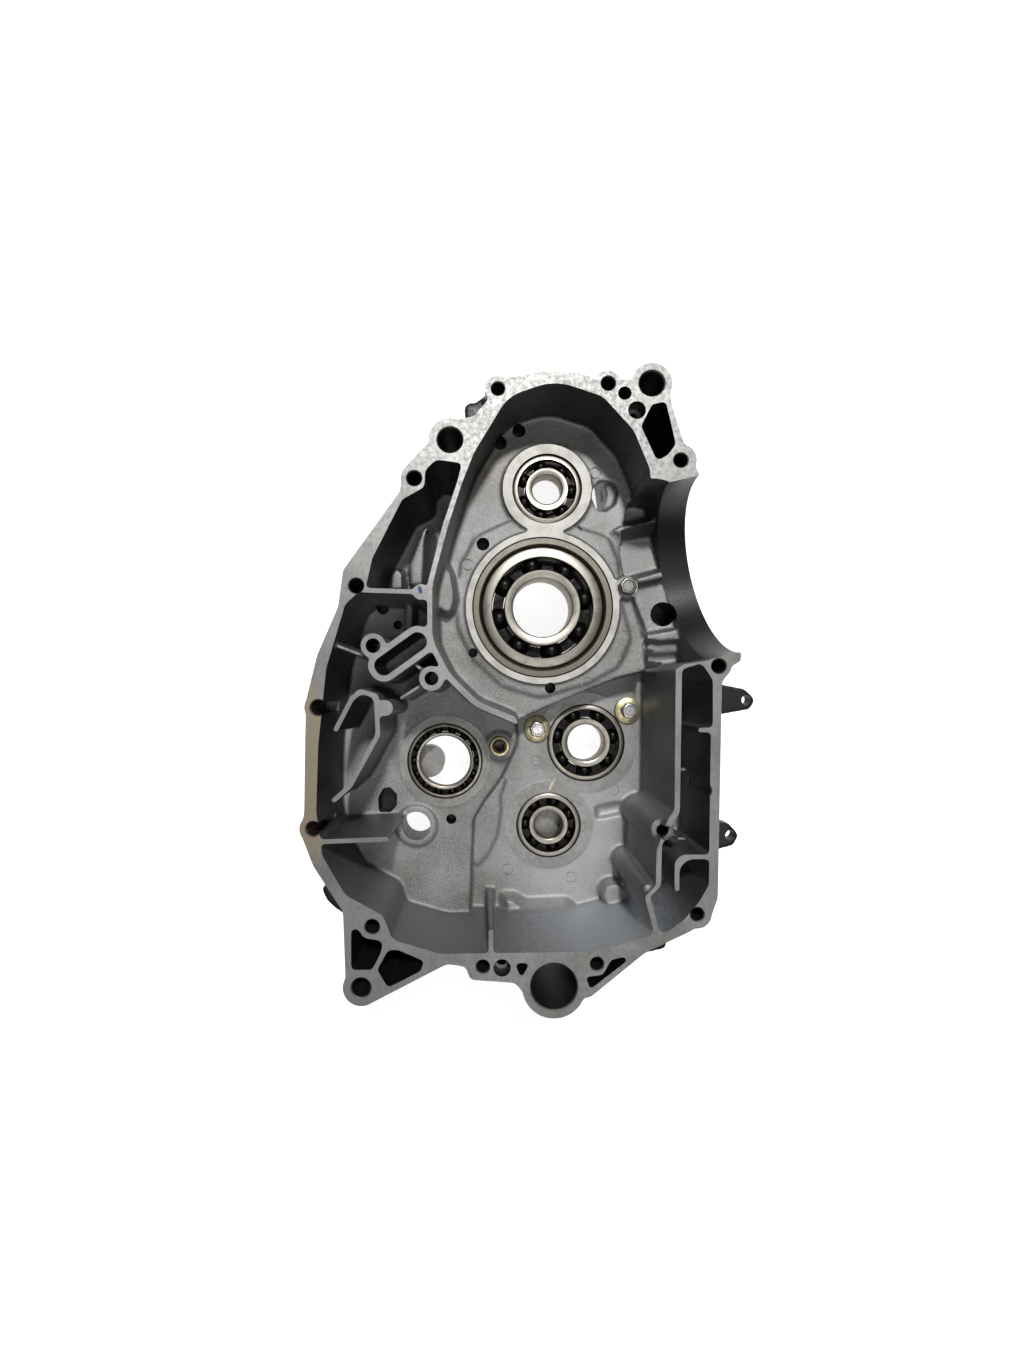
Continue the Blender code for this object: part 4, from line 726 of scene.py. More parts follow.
def cast_fittings(fittings):
    """What stands in the hollows: floors, ribs, posts and the bearing bosses."""
    top = PARTING_Z + STOCK
    low = GEAR_FLOOR_Z - ROOT
    slab("drum_floor", DRUM_FLOOR, low, DRUM_FLOOR_Z, fittings)
    for name, (foot, crest, lean, outline) in RELIEFS.items():
        mound(name, outline, foot, crest, fittings, lean)
    for i, (x, y, foot, crest, high) in enumerate(WALL_COLUMNS):
        post(f"wall_column_{i}", x, y, foot, low, high, fittings, 48, crest)
    for i, (x, y, radius, floor) in enumerate(FLOOR_HOLES):
        end = floor - FLOOR_HOLE_DEPTH - FLOOR_HOLE_END
        post(f"blind_boss_{i}", x, y, radius + FLOOR_HOLE_WALL, end, floor - BOSS_ROOT, fittings)
    rib("oil_baffle", OIL_BAFFLE, STOUT_RIB, low, top, fittings)
    rib("breather_baffle", BREATHER_BAFFLE, STOUT_RIB, BREATHER_FLOOR_Z - ROOT, top, fittings)
    for i, path in enumerate(STOUT_RIBS):
        rib(f"stout_rib_{i}", path, STOUT_RIB, low, top, fittings)
    for i, (x0, y0, x1, y1) in enumerate(LOW_RIBS):
        path = [(x0, y0, 0.0), (x1, y1, 0.0)]
        rib(f"low_rib_{i}", path, THIN_RIB, low, PARTING_Z - LOW_RIB_DEPTH, fittings)
    for i, (x, y, radius) in enumerate(RIB_POSTS):
        post(f"rib_post_{i}", x, y, radius + POST_FLARE, low, top, fittings, 32, radius)
    for i, (x, y, _, radius) in enumerate(TUBE_POSTS):
        post(f"tube_post_{i}", x, y, radius + POST_FLARE, low, top, fittings, 40, radius)
    slab("oil_slot_boss", stadium(OIL_SLOT_RADIUS + OIL_SLOT_WALL), low, top, fittings)
    post("sump_post", *SUMP_POST, low, GEAR_FLOOR_Z + SUMP_POST_HEIGHT, fittings, 40,
         SUMP_POST[2] - SUMP_POST_TAPER)
    post("sleeve_boss", *OIL_SLEEVE, SLEEVE_BOSS_RADIUS, low, SLEEVE_FACE_Z, fittings, 40)
    post("stop_boss", *STOP_BOSS, CLUTCH_TOP_Z - STOP_BOSS_HEIGHT, CLUTCH_TOP_Z + BOSS_ROOT,
         fittings)
    x, y, _, boss = SHIFT_BORE
    post("shift_boss", x, y, boss, CLUTCH_TOP_Z - SHIFT_BOSS_BELOW,
         DRUM_FLOOR_Z + SHIFT_BOSS_ABOVE, fittings)
    for name, (x, y, face, *_) in BEARINGS.items():
        bottom = seat_height(name) - SHOULDER_THICKNESS
        radius = seat_radius(name) + BOSS_WALL[name]
        high = face + FLOOR_FACING
        if face > CRANK_FLOOR_Z:
            high = CRANK_FLOOR_Z + MAIN_BOSS_HEIGHT + MAIN_FACING
        post(f"{name}_boss", x, y, radius + BOSS_FLARE, bottom, high, fittings, 96, radius)
    for i, (x, y) in enumerate(RETAINER_BOLTS.values()):
        bottom = GEAR_FLOOR_Z - BOLT_LENGTH - BLIND_WALL
        post(f"bolt_boss_{i}", x, y, BOLT_BOSS_RADIUS, bottom, GEAR_FLOOR_Z - BOSS_ROOT, fittings)
    bottom = STOP_BOLT_FACE - BOLT_LENGTH - BLIND_WALL
    post("stop_bolt_boss", *STOP_BOLT, BOLT_BOSS_RADIUS, bottom, STOP_BOLT_FACE + STOP_FACING,
         fittings)


def mouth(name, x, y, radius, chamfer, segments, cuts):
    """The chamfer where a hole opens in the parting face."""
    depth, widening = chamfer
    post(name, x, y, radius, PARTING_Z - depth, PARTING_Z + MOUTH_RISE, cuts, segments,
         radius + widening)


def machine_casting(cuts):
    """The cuts made after casting: faces, seats, bores, spot faces and screw holes."""
    top = PARTING_Z + STOCK + CUT_MARGIN
    slab("parting_plane", MILLED_PLANE, PARTING_Z, PARTING_Z + MILL_HEIGHT, cuts)
    slab("clutch_plane", MILLED_PLANE, -MILL_HEIGHT, 0.0, cuts)
    for i, (x, y, radius, _) in enumerate(FACE_SCREWS):
        post(f"screw_hole_{i}", x, y, radius, PARTING_Z - FACE_SCREW_DEPTH, top, cuts, 40)
        mouth(f"screw_mouth_{i}", x, y, radius, SCREW_MOUTH, 40, cuts)
    for i, (x, y, radius, _) in enumerate(MOUNT_HOLES):
        post(f"mount_hole_{i}", x, y, radius, -CUT_MARGIN, top, cuts, 72)
        mouth(f"mount_mouth_{i}", x, y, radius, MOUNT_MOUTH, 72, cuts)
    for i, (x, y, dowel, bolt) in enumerate(DOWEL_HOLES):
        post(f"dowel_hole_{i}", x, y, dowel, PARTING_Z - DOWEL_DEPTH, top, cuts, 40)
        post(f"dowel_bolt_hole_{i}", x, y, bolt, PARTING_Z - FACE_SCREW_DEPTH, top, cuts, 32)
    for i, (x, y, radius, _) in enumerate(TUBE_POSTS):
        post(f"tube_bore_{i}", x, y, radius, PARTING_Z - TUBE_POST_BORE_DEPTH, top, cuts, 40)
    slab("oil_slot", stadium(OIL_SLOT_RADIUS), PARTING_Z - OIL_SLOT_DEPTH, top, cuts)
    for i, (_, (x, y, radius)) in enumerate(SIDE_LUGS):
        low = PARTING_Z - SIDE_LUG_DEPTH - SIDE_LUG_THICKNESS - CUT_MARGIN
        post(f"side_lug_hole_{i}", x, y, radius, low, PARTING_Z - MOUTH_RISE, cuts, 32)
    for i, (x, y) in enumerate(COVER_SCREWS):
        post(f"cover_hole_{i}", x, y, COVER_SCREW_RADIUS, -CUT_MARGIN, COVER_SCREW_DEPTH, cuts, 32)
    for i, (x, y, radius, floor) in enumerate(FLOOR_HOLES):
        post(f"floor_hole_{i}", x, y, radius, floor - FLOOR_HOLE_DEPTH, floor + HOLE_RISE, cuts, 32)
    post("oil_drain", *OIL_DRAIN, CLUTCH_TOP_Z + OILWAY_END, PARTING_Z - OIL_DRAIN_BELOW, cuts)
    post("shift_bore", *SHIFT_BORE[:3], -CUT_MARGIN, DRUM_FLOOR_Z + HOLE_RISE, cuts, 56)
    for name, (x, y, face, outer, *_) in BEARINGS.items():
        seat = seat_height(name)
        post(f"{name}_seat", x, y, seat_radius(name), seat, face + SEAT_RISE, cuts, 120)
        inner = outer / 2.0 - SHOULDER_WIDTH
        low = min(CLUTCH_TOP_Z - BOSS_ROOT, seat - SHOULDER_THICKNESS - CUT_MARGIN)
        if name == "output":
            low = seat - SHOULDER_THICKNESS + BLIND_END
        post(f"{name}_shoulder", x, y, inner, low, face, cuts, 96)
        ring_top = CRANK_FLOOR_Z + MAIN_BOSS_HEIGHT if face > CRANK_FLOOR_Z else face
        spot = seat_radius(name) + BOSS_WALL[name] + SPOT_MARGIN
        post(f"{name}_spot_face", x, y, spot, ring_top, ring_top + SPOT_RISE, cuts, 120)
    for i, (x, y) in enumerate(RETAINER_BOLTS.values()):
        post(f"retainer_hole_{i}", x, y, BOLT_HOLE_RADIUS, GEAR_FLOOR_Z - BOLT_LENGTH - SEAT_GAP,
             GEAR_FLOOR_Z + CUT_MARGIN, cuts, 32)
        post(f"retainer_spot_{i}", x, y, WASHER_SPOT_RADIUS, GEAR_FLOOR_Z,
             GEAR_FLOOR_Z + SPOT_RISE, cuts)
    post("stop_bolt_hole", *STOP_BOLT, BOLT_HOLE_RADIUS, STOP_BOLT_FACE - BOLT_LENGTH - SEAT_GAP,
         STOP_BOLT_FACE + CUT_MARGIN, cuts, 32)
    post("stop_bolt_spot", *STOP_BOLT, BOLT_SPOT_RADIUS, STOP_BOLT_FACE,
         STOP_BOLT_FACE + SPOT_RISE, cuts)
    high = DRUM_FLOOR_Z + SPOT_RISE
    post("sleeve_seat", *OIL_SLEEVE, SLEEVE_SEAT_RADIUS, DRUM_FLOOR_Z - SLEEVE_SEAT_DEPTH, high,
         cuts, 40)
    post("sleeve_spot", *OIL_SLEEVE, SLEEVE_SPOT_RADIUS, SLEEVE_FACE_Z, high, cuts)
    post("sleeve_oilway", *OIL_SLEEVE, SLEEVE_BORE, CLUTCH_TOP_Z + OILWAY_END, SLEEVE_FACE_Z,
         cuts, 32)
    slab("cored_drum_pocket", DRUM_POCKET, CLUTCH_TOP_Z + DRUM_POCKET_END,
         DRUM_FLOOR_Z + CUT_MARGIN, cuts)
    for i, (x, y, floor) in enumerate(EJECTOR_MARKS):
        inner, bottom = EJECTOR_RADIUS - EJECTOR_RING, floor - EJECTOR_DEPTH
        high = floor + EJECTOR_RISE
        ring = [(EJECTOR_RADIUS, high), (EJECTOR_RADIUS, bottom), (inner, bottom), (inner, high)]
        turned(f"cored_ejector_{i}", (x, y), 0.0, ring, 40, cuts)
    spigot_cut(cuts)
    deck_cut(cuts)


def deck_frame():
    """Where the deck's middle is, and the turn that takes +X square to the deck."""
    x = (DECK_FRONT[0] + DECK_REAR[0]) / 2.0
    y = (DECK_FRONT[1] + DECK_REAR[1]) / 2.0
    return x, y, Matrix.Rotation(DECK_TILT, 4, "Z")


def spigot_cut(cuts):
    """The half bore for the cylinder liner, lying in the parting plane."""
    x, y, turn = deck_frame()
    shape = bmesh.new()
    bmesh.ops.create_cone(
        shape, cap_ends=True, segments=160, radius1=SPIGOT_RADIUS * MM, radius2=SPIGOT_RADIUS * MM,
        depth=(SPIGOT_WALL + SPIGOT_MARGIN) * MM)
    bmesh.ops.rotate(shape, verts=shape.verts, matrix=Matrix.Rotation(math.pi / 2.0, 3, "Y"))
    inset = SPIGOT_WALL / 2.0
    bmesh.ops.translate(shape, verts=shape.verts, vec=(-inset * MM, 0.0, 0.0))
    bmesh.ops.transform(shape, verts=shape.verts, matrix=turn)
    bmesh.ops.translate(shape, verts=shape.verts, vec=place(x, y, PARTING_Z))
    new_object("spigot_bore", finish_mesh(shape, "spigot_bore"), cuts)


def deck_cut(cuts):
    """Mills the cylinder deck flat. The blank is cast a little proud of it."""
    x, y, turn = deck_frame()
    shape = bmesh.new()
    bmesh.ops.create_cube(shape, size=1.0)
    bmesh.ops.scale(shape, verts=shape.verts, vec=[size * MM for size in DECK_MILL])
    bmesh.ops.translate(shape, verts=shape.verts, vec=(DECK_MILL[0] / 2.0 * MM, 0.0, 0.0))
    bmesh.ops.transform(shape, verts=shape.verts, matrix=turn)
    bmesh.ops.translate(shape, verts=shape.verts, vec=place(x, y, PARTING_Z / 2.0))
    new_object("deck_mill", finish_mesh(shape, "deck_mill"), cuts)


def inside(points_x, points_y, corners, margin=0.0):
    """Which places lie inside an outline, or within a margin of it."""
    xs = np.array([c[0] for c in corners])
    ys = np.array([c[1] for c in corners])
    nx, ny = np.roll(xs, -1), np.roll(ys, -1)
    within = np.zeros(len(points_x), dtype=bool)
    near = np.full(len(points_x), 1e9)
    for x0, y0, x1, y1 in zip(xs, ys, nx, ny):
        crosses = (y0 > points_y) != (y1 > points_y)
        span = (y1 - y0) if y1 != y0 else 1e-9
        within ^= crosses & (points_x < (x1 - x0) * (points_y - y0) / span + x0)
        along = np.clip(((points_x - x0) * (x1 - x0) + (points_y - y0) * (y1 - y0))
                        / max(1e-9, (x1 - x0) ** 2 + (y1 - y0) ** 2), 0.0, 1.0)
        near = np.minimum(near, np.hypot(points_x - x0 - along * (x1 - x0),
                                         points_y - y0 - along * (y1 - y0)))
    return within | (near < margin)


CAST, MACHINED, PAINTED, FACED = 0, 1, 2, 3
# How far bare metal runs past a chamber's outline
BARE_MARGIN = 1.1


def paint_outside(mesh):
    """Gives the outer skin its paint: every cast face that no chamber holds."""
    count = len(mesh.polygons)
    centres = np.empty(count * 3)
    mesh.polygons.foreach_get("center", centres)
    centres = centres.reshape(-1, 3) / MM - np.array((CRANK_X, CRANK_Y, 0.0))
    x, y, z = centres.T
    looks = np.empty(count, dtype=np.int32)
    mesh.polygons.foreach_get("material_index", looks)
    bare = np.zeros(count, dtype=bool)
    for outline in (CRANK_CHAMBER, SPIGOT_CHANNEL, GEAR_CHAMBER, BREATHER_CHAMBER):
        bare |= inside(x, y, outline, BARE_MARGIN) & (z > CLUTCH_TOP_Z)
    bare |= inside(x, y, CLUTCH_CHAMBER, BARE_MARGIN) & (z < CLUTCH_TOP_Z + FLOOR_WALL)
    looks[(looks == CAST) & ~bare] = PAINTED
    mesh.polygons.foreach_set("material_index", looks)


def give_finish(mesh, finish):
    """Gives every face of a mesh one of the casting's finishes."""
    mesh.polygons.foreach_set("material_index", [finish] * len(mesh.polygons))


def give_slots(collection):
    """Gives every cutter the casting's four material slots."""
    for obj in collection.objects:
        for _ in range(4):
            obj.data.materials.append(None)


def smooth_by_angle(mesh, degrees):
    """Smooth shading, with sharp edges where faces meet at more than an angle."""
    shape = bmesh.new()
    shape.from_mesh(mesh)
    limit = math.radians(degrees)
    for face in shape.faces:
        face.smooth = True
    for edge in shape.edges:
        if len(edge.link_faces) == 2:
            a, b = edge.link_faces
            edge.smooth = edge.calc_face_angle(0.0) < limit and a.material_index == b.material_index
    shape.to_mesh(mesh)
    shape.free()


# Materials

def node(tree, kind, inputs=None, **settings):
    """Adds a node with its settings, and its inputs as values or links."""
    made = tree.nodes.new(kind)
    for name, value in settings.items():
        setattr(made, name, value)
    for name, value in (inputs or {}).items():
        socket = made.inputs[name]
        if isinstance(value, bpy.types.NodeSocket):
            tree.links.new(value, socket)
        else:
            socket.default_value = value
    return made


def new_material(name):
    look = bpy.data.materials.new(name)
    look.use_nodes = True
    tree = look.node_tree
    shader = tree.nodes["Principled BSDF"]
    place_of = node(tree, "ShaderNodeTexCoord").outputs["Object"]
    return look, tree, shader, place_of


def noise(tree, vector, size_mm, detail=2.0, roughness=0.5, offset=(0.0, 0.0, 0.0)):
    """A noise whose blobs are about size_mm across."""
    moved = node(tree, "ShaderNodeVectorMath", {0: vector, 1: offset}, operation="ADD")
    return node(tree, "ShaderNodeTexNoise", {
        "Vector": moved.outputs[0], "Scale": 1.0 / (size_mm * MM), "Detail": detail,
        "Roughness": roughness}).outputs["Fac"]


def ranged(tree, value, low, high, to_low=0.0, to_high=1.0):
    return node(tree, "ShaderNodeMapRange", {
        "Value": value, "From Min": low, "From Max": high, "To Min": to_low,
        "To Max": to_high}, interpolation_type="SMOOTHSTEP").outputs["Result"]


def mixed(tree, factor, first, second):
    """A colour between two others. Each is a hex value or a socket."""
    first, second = (linear(c) if isinstance(c, str) else c for c in (first, second))
    return node(tree, "ShaderNodeMix", {0: factor, 6: first, 7: second},
                data_type="RGBA").outputs[2]


def combined(tree, operation, first, second):
    return node(tree, "ShaderNodeMath", {0: first, 1: second}, operation=operation).outputs[0]


def length_of(tree, vector):
    return node(tree, "ShaderNodeVectorMath", {0: vector}, operation="LENGTH").outputs["Value"]


def dress(tree, shader, colour, metallic, roughness):
    """Gives the shader its base colour, its share of metal and its roughness."""
    tree.links.new(colour, shader.inputs["Base Color"])
    shader.inputs["Metallic"].default_value = metallic
    tree.links.new(roughness, shader.inputs["Roughness"])


def bumped(tree, shader, height, strength, depth_mm):
    bump = node(tree, "ShaderNodeBump", {"Height": height, "Strength": strength,
                                         "Distance": depth_mm * MM})
    tree.links.new(bump.outputs[0], shader.inputs["Normal"])


def steep_face_shade(tree):
    """How far a surface is from level, as the mask for painted shade: near one on the walls, none
    on floors and faces.
    """
    normal = node(tree, "ShaderNodeNewGeometry").outputs["True Normal"]
    upward = node(tree, "ShaderNodeSeparateXYZ", {0: normal}).outputs["Z"]
    return ranged(tree, combined(tree, "ABSOLUTE", upward, 0.0), 0.2, 0.8, 0.9, 0.0)


def painted_on(tree, at, base, dabs, height=3.0, rim=(1.2, 1.5), cover=0.9):
    """The base colour with ellipses in plan over it, with ragged rims: dabs of paint and stain, and
    patches of painted shade and painted light.
    """
    for x, y, z, length, width, turn, colour in dabs:
        local = node(tree, "ShaderNodeMapping", {
            "Vector": at, "Location": place(x, y, z), "Rotation": (0.0, 0.0, math.radians(turn)),
            "Scale": (length * MM, width * MM, height * MM)}, vector_type="TEXTURE").outputs[0]
        distance = length_of(tree, local)
        ragged = combined(tree, "MULTIPLY", noise(tree, at, 0.25 * min(length, 8.0), 3.0), 0.9)
        reach = combined(tree, "ADD", distance, ragged)
        base = mixed(tree, ranged(tree, reach, *rim, cover, 0.0), base, colour)
    return base


def cast_aluminium():
    """Shot-blasted die-cast aluminium: dull grey floors, with painted shade on the steep walls and
    painted light on part of the floor.
    """
    look, tree, shader, at = new_material("blasted_cast_aluminium")
    grit = noise(tree, at, 0.7, 4.0, 0.75)
    cloud = noise(tree, at, 22.0, 3.0, 0.55)
    stain = noise(tree, at, 34.0, 4.0, 0.6, (0.3, 0.1, 0.0))
    base = mixed(tree, ranged(tree, cloud, 0.35, 0.65), "#8F8F8D", "#A2A2A0")
    base = mixed(tree, ranged(tree, stain, 0.5, 0.72, 0.0, 0.6), base, "#7F7668")
    base = mixed(tree, ranged(tree, grit, 0.48, 0.68, 0.0, 0.65), base, "#CDCDCB")
    base = mixed(tree, ranged(tree, grit, 0.34, 0.47, 0.6, 0.0), base, "#5F5E5B")
    # Painted shade on the steep walls, darkest where they face away from the light, with painted
    # light on the bottom wall
    wall_light_and_shade = painted_on(tree, at, "#8F9296", WALL_SHADE_AND_LIGHT, 200.0, (0.7, 1.8))
    base = mixed(tree, steep_face_shade(tree), base, wall_light_and_shade)
    # Painted light: a broad lighter patch on the floor
    base = painted_on(tree, at, base, PAINTED_LIGHT_PATCHES, 20.0, (0.7, 1.9), 0.5)
    dress(tree, shader, painted_on(tree, at, base, CAST_DABS), 0.65,
          ranged(tree, grit, 0.3, 0.7, 0.46, 0.6))
    bumped(tree, shader, grit, 0.6, 0.25)
    return look


def machined_aluminium():
    """Face-milled aluminium: bright, with fine cutter marks, rubbed and stained in places, and
    painted shade on steep faces.
    """
    look, tree, shader, at = new_material("milled_aluminium")
    stretched = node(tree, "ShaderNodeMapping", {"Vector": at, "Rotation": (0.0, 0.0, 0.6),
                                                 "Scale": (1.0, 0.08, 1.0)}).outputs[0]
    marks = noise(tree, stretched, 0.35, 2.0, 0.5)
    rubbed = noise(tree, at, 2.2, 5.0, 0.75)
    cloud = noise(tree, at, 26.0, 3.0, 0.6)
    base = mixed(tree, ranged(tree, cloud, 0.35, 0.7), "#A3A2A0", "#8E8D8A")
    base = mixed(tree, ranged(tree, rubbed, 0.52, 0.7, 0.0, 0.45), base, "#7B7976")
    base = mixed(tree, ranged(tree, marks, 0.5, 0.75, 0.0, 0.4), base, "#BDBCB9")
    # Painted shade: steep milled faces, such as the insides of holes, are made dark
    base = mixed(tree, steep_face_shade(tree), base, "#46433F")
    dress(tree, shader, painted_on(tree, at, base, MILLED_DABS), 0.9,
          ranged(tree, rubbed, 0.35, 0.7, 0.46, 0.6))
    bumped(tree, shader, marks, 0.3, 0.05)
    return look


def faced_aluminium():
    """Aluminium faced on the lathe round a bearing: clean, bright and almost smooth."""
    look, tree, shader, at = new_material("faced_aluminium")
    fine = noise(tree, at, 0.4, 3.0, 0.6)
    cloud = noise(tree, at, 9.0, 3.0, 0.6)
    base = mixed(tree, ranged(tree, cloud, 0.35, 0.7), "#DAD8D2", "#BFBCB5")
    dress(tree, shader, mixed(tree, ranged(tree, fine, 0.5, 0.8, 0.0, 0.3), base, "#9B978E"), 0.85,
          ranged(tree, fine, 0.3, 0.7, 0.58, 0.7))
    bumped(tree, shader, fine, 0.2, 0.03)
    return look


def black_paint():
    """Satin black engine enamel sprayed on the blasted casting: smooth, with slight orange peel.
    Also painted shade inside the blind holes.
    """
    look, tree, shader, at = new_material("satin_black_enamel")
    peel = noise(tree, at, 0.9, 2.0, 0.5)
    cloud = noise(tree, at, 30.0, 3.0, 0.5)
    base = mixed(tree, ranged(tree, cloud, 0.35, 0.7), "#17181B", "#1F2023")
    dress(tree, shader, base, 0.0, ranged(tree, peel, 0.3, 0.7, 0.36, 0.48))
    bumped(tree, shader, peel, 0.35, 0.08)
    return look


def turned_steel(name, centre, bright, dark, roughness, edge_radii=()):
    """Ground or turned steel: rings of fine marks round the axis, brown blotches, and a darker
    brown band at each given edge.
    """
    look, tree, shader, at = new_material(name)
    middle = place(*centre)
    local = node(tree, "ShaderNodeMapping", {
        "Vector": at, "Location": (-middle.x, -middle.y, 0.0)}).outputs[0]
    flat = node(tree, "ShaderNodeVectorMath", {0: local, 1: (1.0, 1.0, 0.0)}, operation="MULTIPLY")
    radius = length_of(tree, flat.outputs[0])
    lines = node(tree, "ShaderNodeTexNoise", {
        "W": radius, "Scale": 1.0 / (0.28 * MM), "Detail": 3.0},
        noise_dimensions="1D").outputs["Fac"]
    blotch = noise(tree, at, 5.0, 4.0, 0.65)
    base = mixed(tree, ranged(tree, lines, 0.3, 0.7), dark, bright)
    base = mixed(tree, ranged(tree, blotch, 0.48, 0.72, 0.0, 0.4), base, "#857A69")
    # A darker brown band on each side of each given radius
    for edge, width in edge_radii:
        gap = combined(tree, "ABSOLUTE", combined(tree, "SUBTRACT", radius, edge * MM), 0.0)
        base = mixed(tree, ranged(tree, gap, 0.0, width * MM, 0.75, 0.0), base, "#5F5040")
    dress(tree, shader, base, 1.0, ranged(tree, blotch, 0.3, 0.7, roughness, roughness + 0.12))
    bumped(tree, shader, lines, 0.3, 0.03)
    return look


def blackened_cage():
    """Pressed-steel ball cage, blackened and wet with oil: near black, with soft highlights."""
    look, tree, shader, at = new_material("blackened_pressed_steel")
    blotch = noise(tree, at, 2.0, 3.0, 0.6)
    dress(tree, shader, mixed(tree, ranged(tree, blotch, 0.4, 0.7), "#19191B", "#2A2926"), 0.85,
          ranged(tree, blotch, 0.3, 0.7, 0.28, 0.42))
    bumped(tree, shader, blotch, 0.15, 0.05)
    return look


def polished_ball():
    """Polished bearing steel under an oil film."""
    look, tree, shader, at = new_material("polished_ball_steel")
    film = noise(tree, at, 4.0, 2.0, 0.5)
    dress(tree, shader, mixed(tree, ranged(tree, film, 0.4, 0.7), "#8F8B84", "#6F675C"), 1.0,
          ranged(tree, film, 0.3, 0.7, 0.1, 0.2))
    return look


def plated_steel(name, colour, shade, roughness):
    """Zinc-plated steel: smooth and slightly cloudy, with the passivation's colour."""
    look, tree, shader, at = new_material(name)
    cloud = noise(tree, at, 2.5, 3.0, 0.6)
    dress(tree, shader, mixed(tree, ranged(tree, cloud, 0.35, 0.7), colour, shade), 0.9,
          ranged(tree, cloud, 0.3, 0.7, roughness, roughness + 0.12))
    fine = noise(tree, at, 0.4, 2.0, 0.5)
    bumped(tree, shader, fine, 0.15, 0.03)
    return look


# Pieces

def settle(piece, body, slot, *nodes):
    """Says what the piece rides on and the nodes that it stands for. The slot of its finish is not
    used.
    """
    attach(piece, body)
    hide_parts(*nodes)


def spin_round(shape, profile, steps):
    """Sweeps a profile round the upright axis by a full turn, and welds its seam."""
    bmesh.ops.spin(
        shape, geom=profile, cent=(0.0, 0.0, 0.0), axis=(0.0, 0.0, 1.0), dvec=(0.0, 0.0, 0.0),
        angle=2.0 * math.pi, steps=steps, use_merge=True, use_duplicate=False)
    bmesh.ops.remove_doubles(shape, verts=shape.verts, dist=1e-7)


def turned(name, centre, height, profile, segments=128, collection=None):
    """A half-section of radius and height, swept round the upright axis by a full spin."""
    shape = bmesh.new()
    verts = [shape.verts.new((r * MM, 0.0, h * MM)) for r, h in profile]
    edges = [shape.edges.new((a, b)) for a, b in zip(verts, verts[1:] + verts[:1])]
    spin_round(shape, verts + edges, segments)
    bmesh.ops.recalc_face_normals(shape, faces=shape.faces)
    bmesh.ops.translate(shape, verts=shape.verts, vec=place(*centre, height))
    obj = new_object(name, finish_mesh(shape, name), collection)
    smooth_by_angle(obj.data, 35.0)
    return obj


def arc(centre_r, centre_h, radius, start, stop, steps):
    """Points of an arc in a half-section, by angle in degrees."""
    angles = [math.radians(start + (stop - start) * i / steps) for i in range(steps + 1)]
    return [(centre_r + radius * math.cos(a), centre_h + radius * math.sin(a)) for a in angles]


def make_races(name):
    x, y, face, outer, bore, width, ball, count, pitch = BEARINGS[name]
    half, middle = width / 2.0, face - width / 2.0
    track = ball / 2.0 * TRACK_FIT
    outer_land, inner_land = pitch + ball * LAND_SHARE, pitch - ball * LAND_SHARE
    chamfer = 0.045 * width + 0.35
    low = math.degrees(math.acos((outer_land - pitch) / track))
    out = [(outer / 2.0 - chamfer, half), (outer / 2.0 - chamfer * 0.3, half - chamfer * 0.3),
           (outer / 2.0, half - chamfer), (outer / 2.0, -half + chamfer),
           (outer / 2.0 - chamfer, -half), (outer_land + LAND_EDGE, -half),
           (outer_land, -half + LAND_EDGE)]
    out += arc(pitch, 0.0, track, -low, low, ARC_STEPS)
    out += [(outer_land, half - LAND_EDGE), (outer_land + LAND_EDGE, half)]
    ring = turned(f"{name}_outer_race", (x, y), middle, out)
    low = math.degrees(math.acos((pitch - inner_land) / track))
    inner = [(inner_land - LAND_EDGE, half), (inner_land, half - LAND_EDGE)]
    inner += arc(pitch, 0.0, track, 180.0 - low, 180.0 + low, ARC_STEPS)
    inner += [(inner_land, -half + LAND_EDGE), (inner_land - LAND_EDGE, -half),
              (bore / 2.0 + chamfer, -half),
              (bore / 2.0, -half + chamfer), (bore / 2.0, half - chamfer),
              (bore / 2.0 + chamfer * 0.3, half - chamfer * 0.3), (bore / 2.0 + chamfer, half)]
    hub = turned(f"{name}_inner_race", (x, y), middle, inner)
    look = turned_steel(
        f"{name}_ground_race_steel", (x, y), "#AEAAA1", "#8D8980", 0.3,
        [(outer / 2.0, 0.9), (outer_land, 0.8), (inner_land, 0.8), (bore / 2.0, 0.9)])
    for piece in (ring, hub):
        piece.data.materials.append(look)
    settle(ring, "crankcase", "bearing_steel", f"{name}_bearing_outer_race")
    settle(hub, f"{name}_inner_race", "bearing_steel", f"{name}_bearing_inner_race")


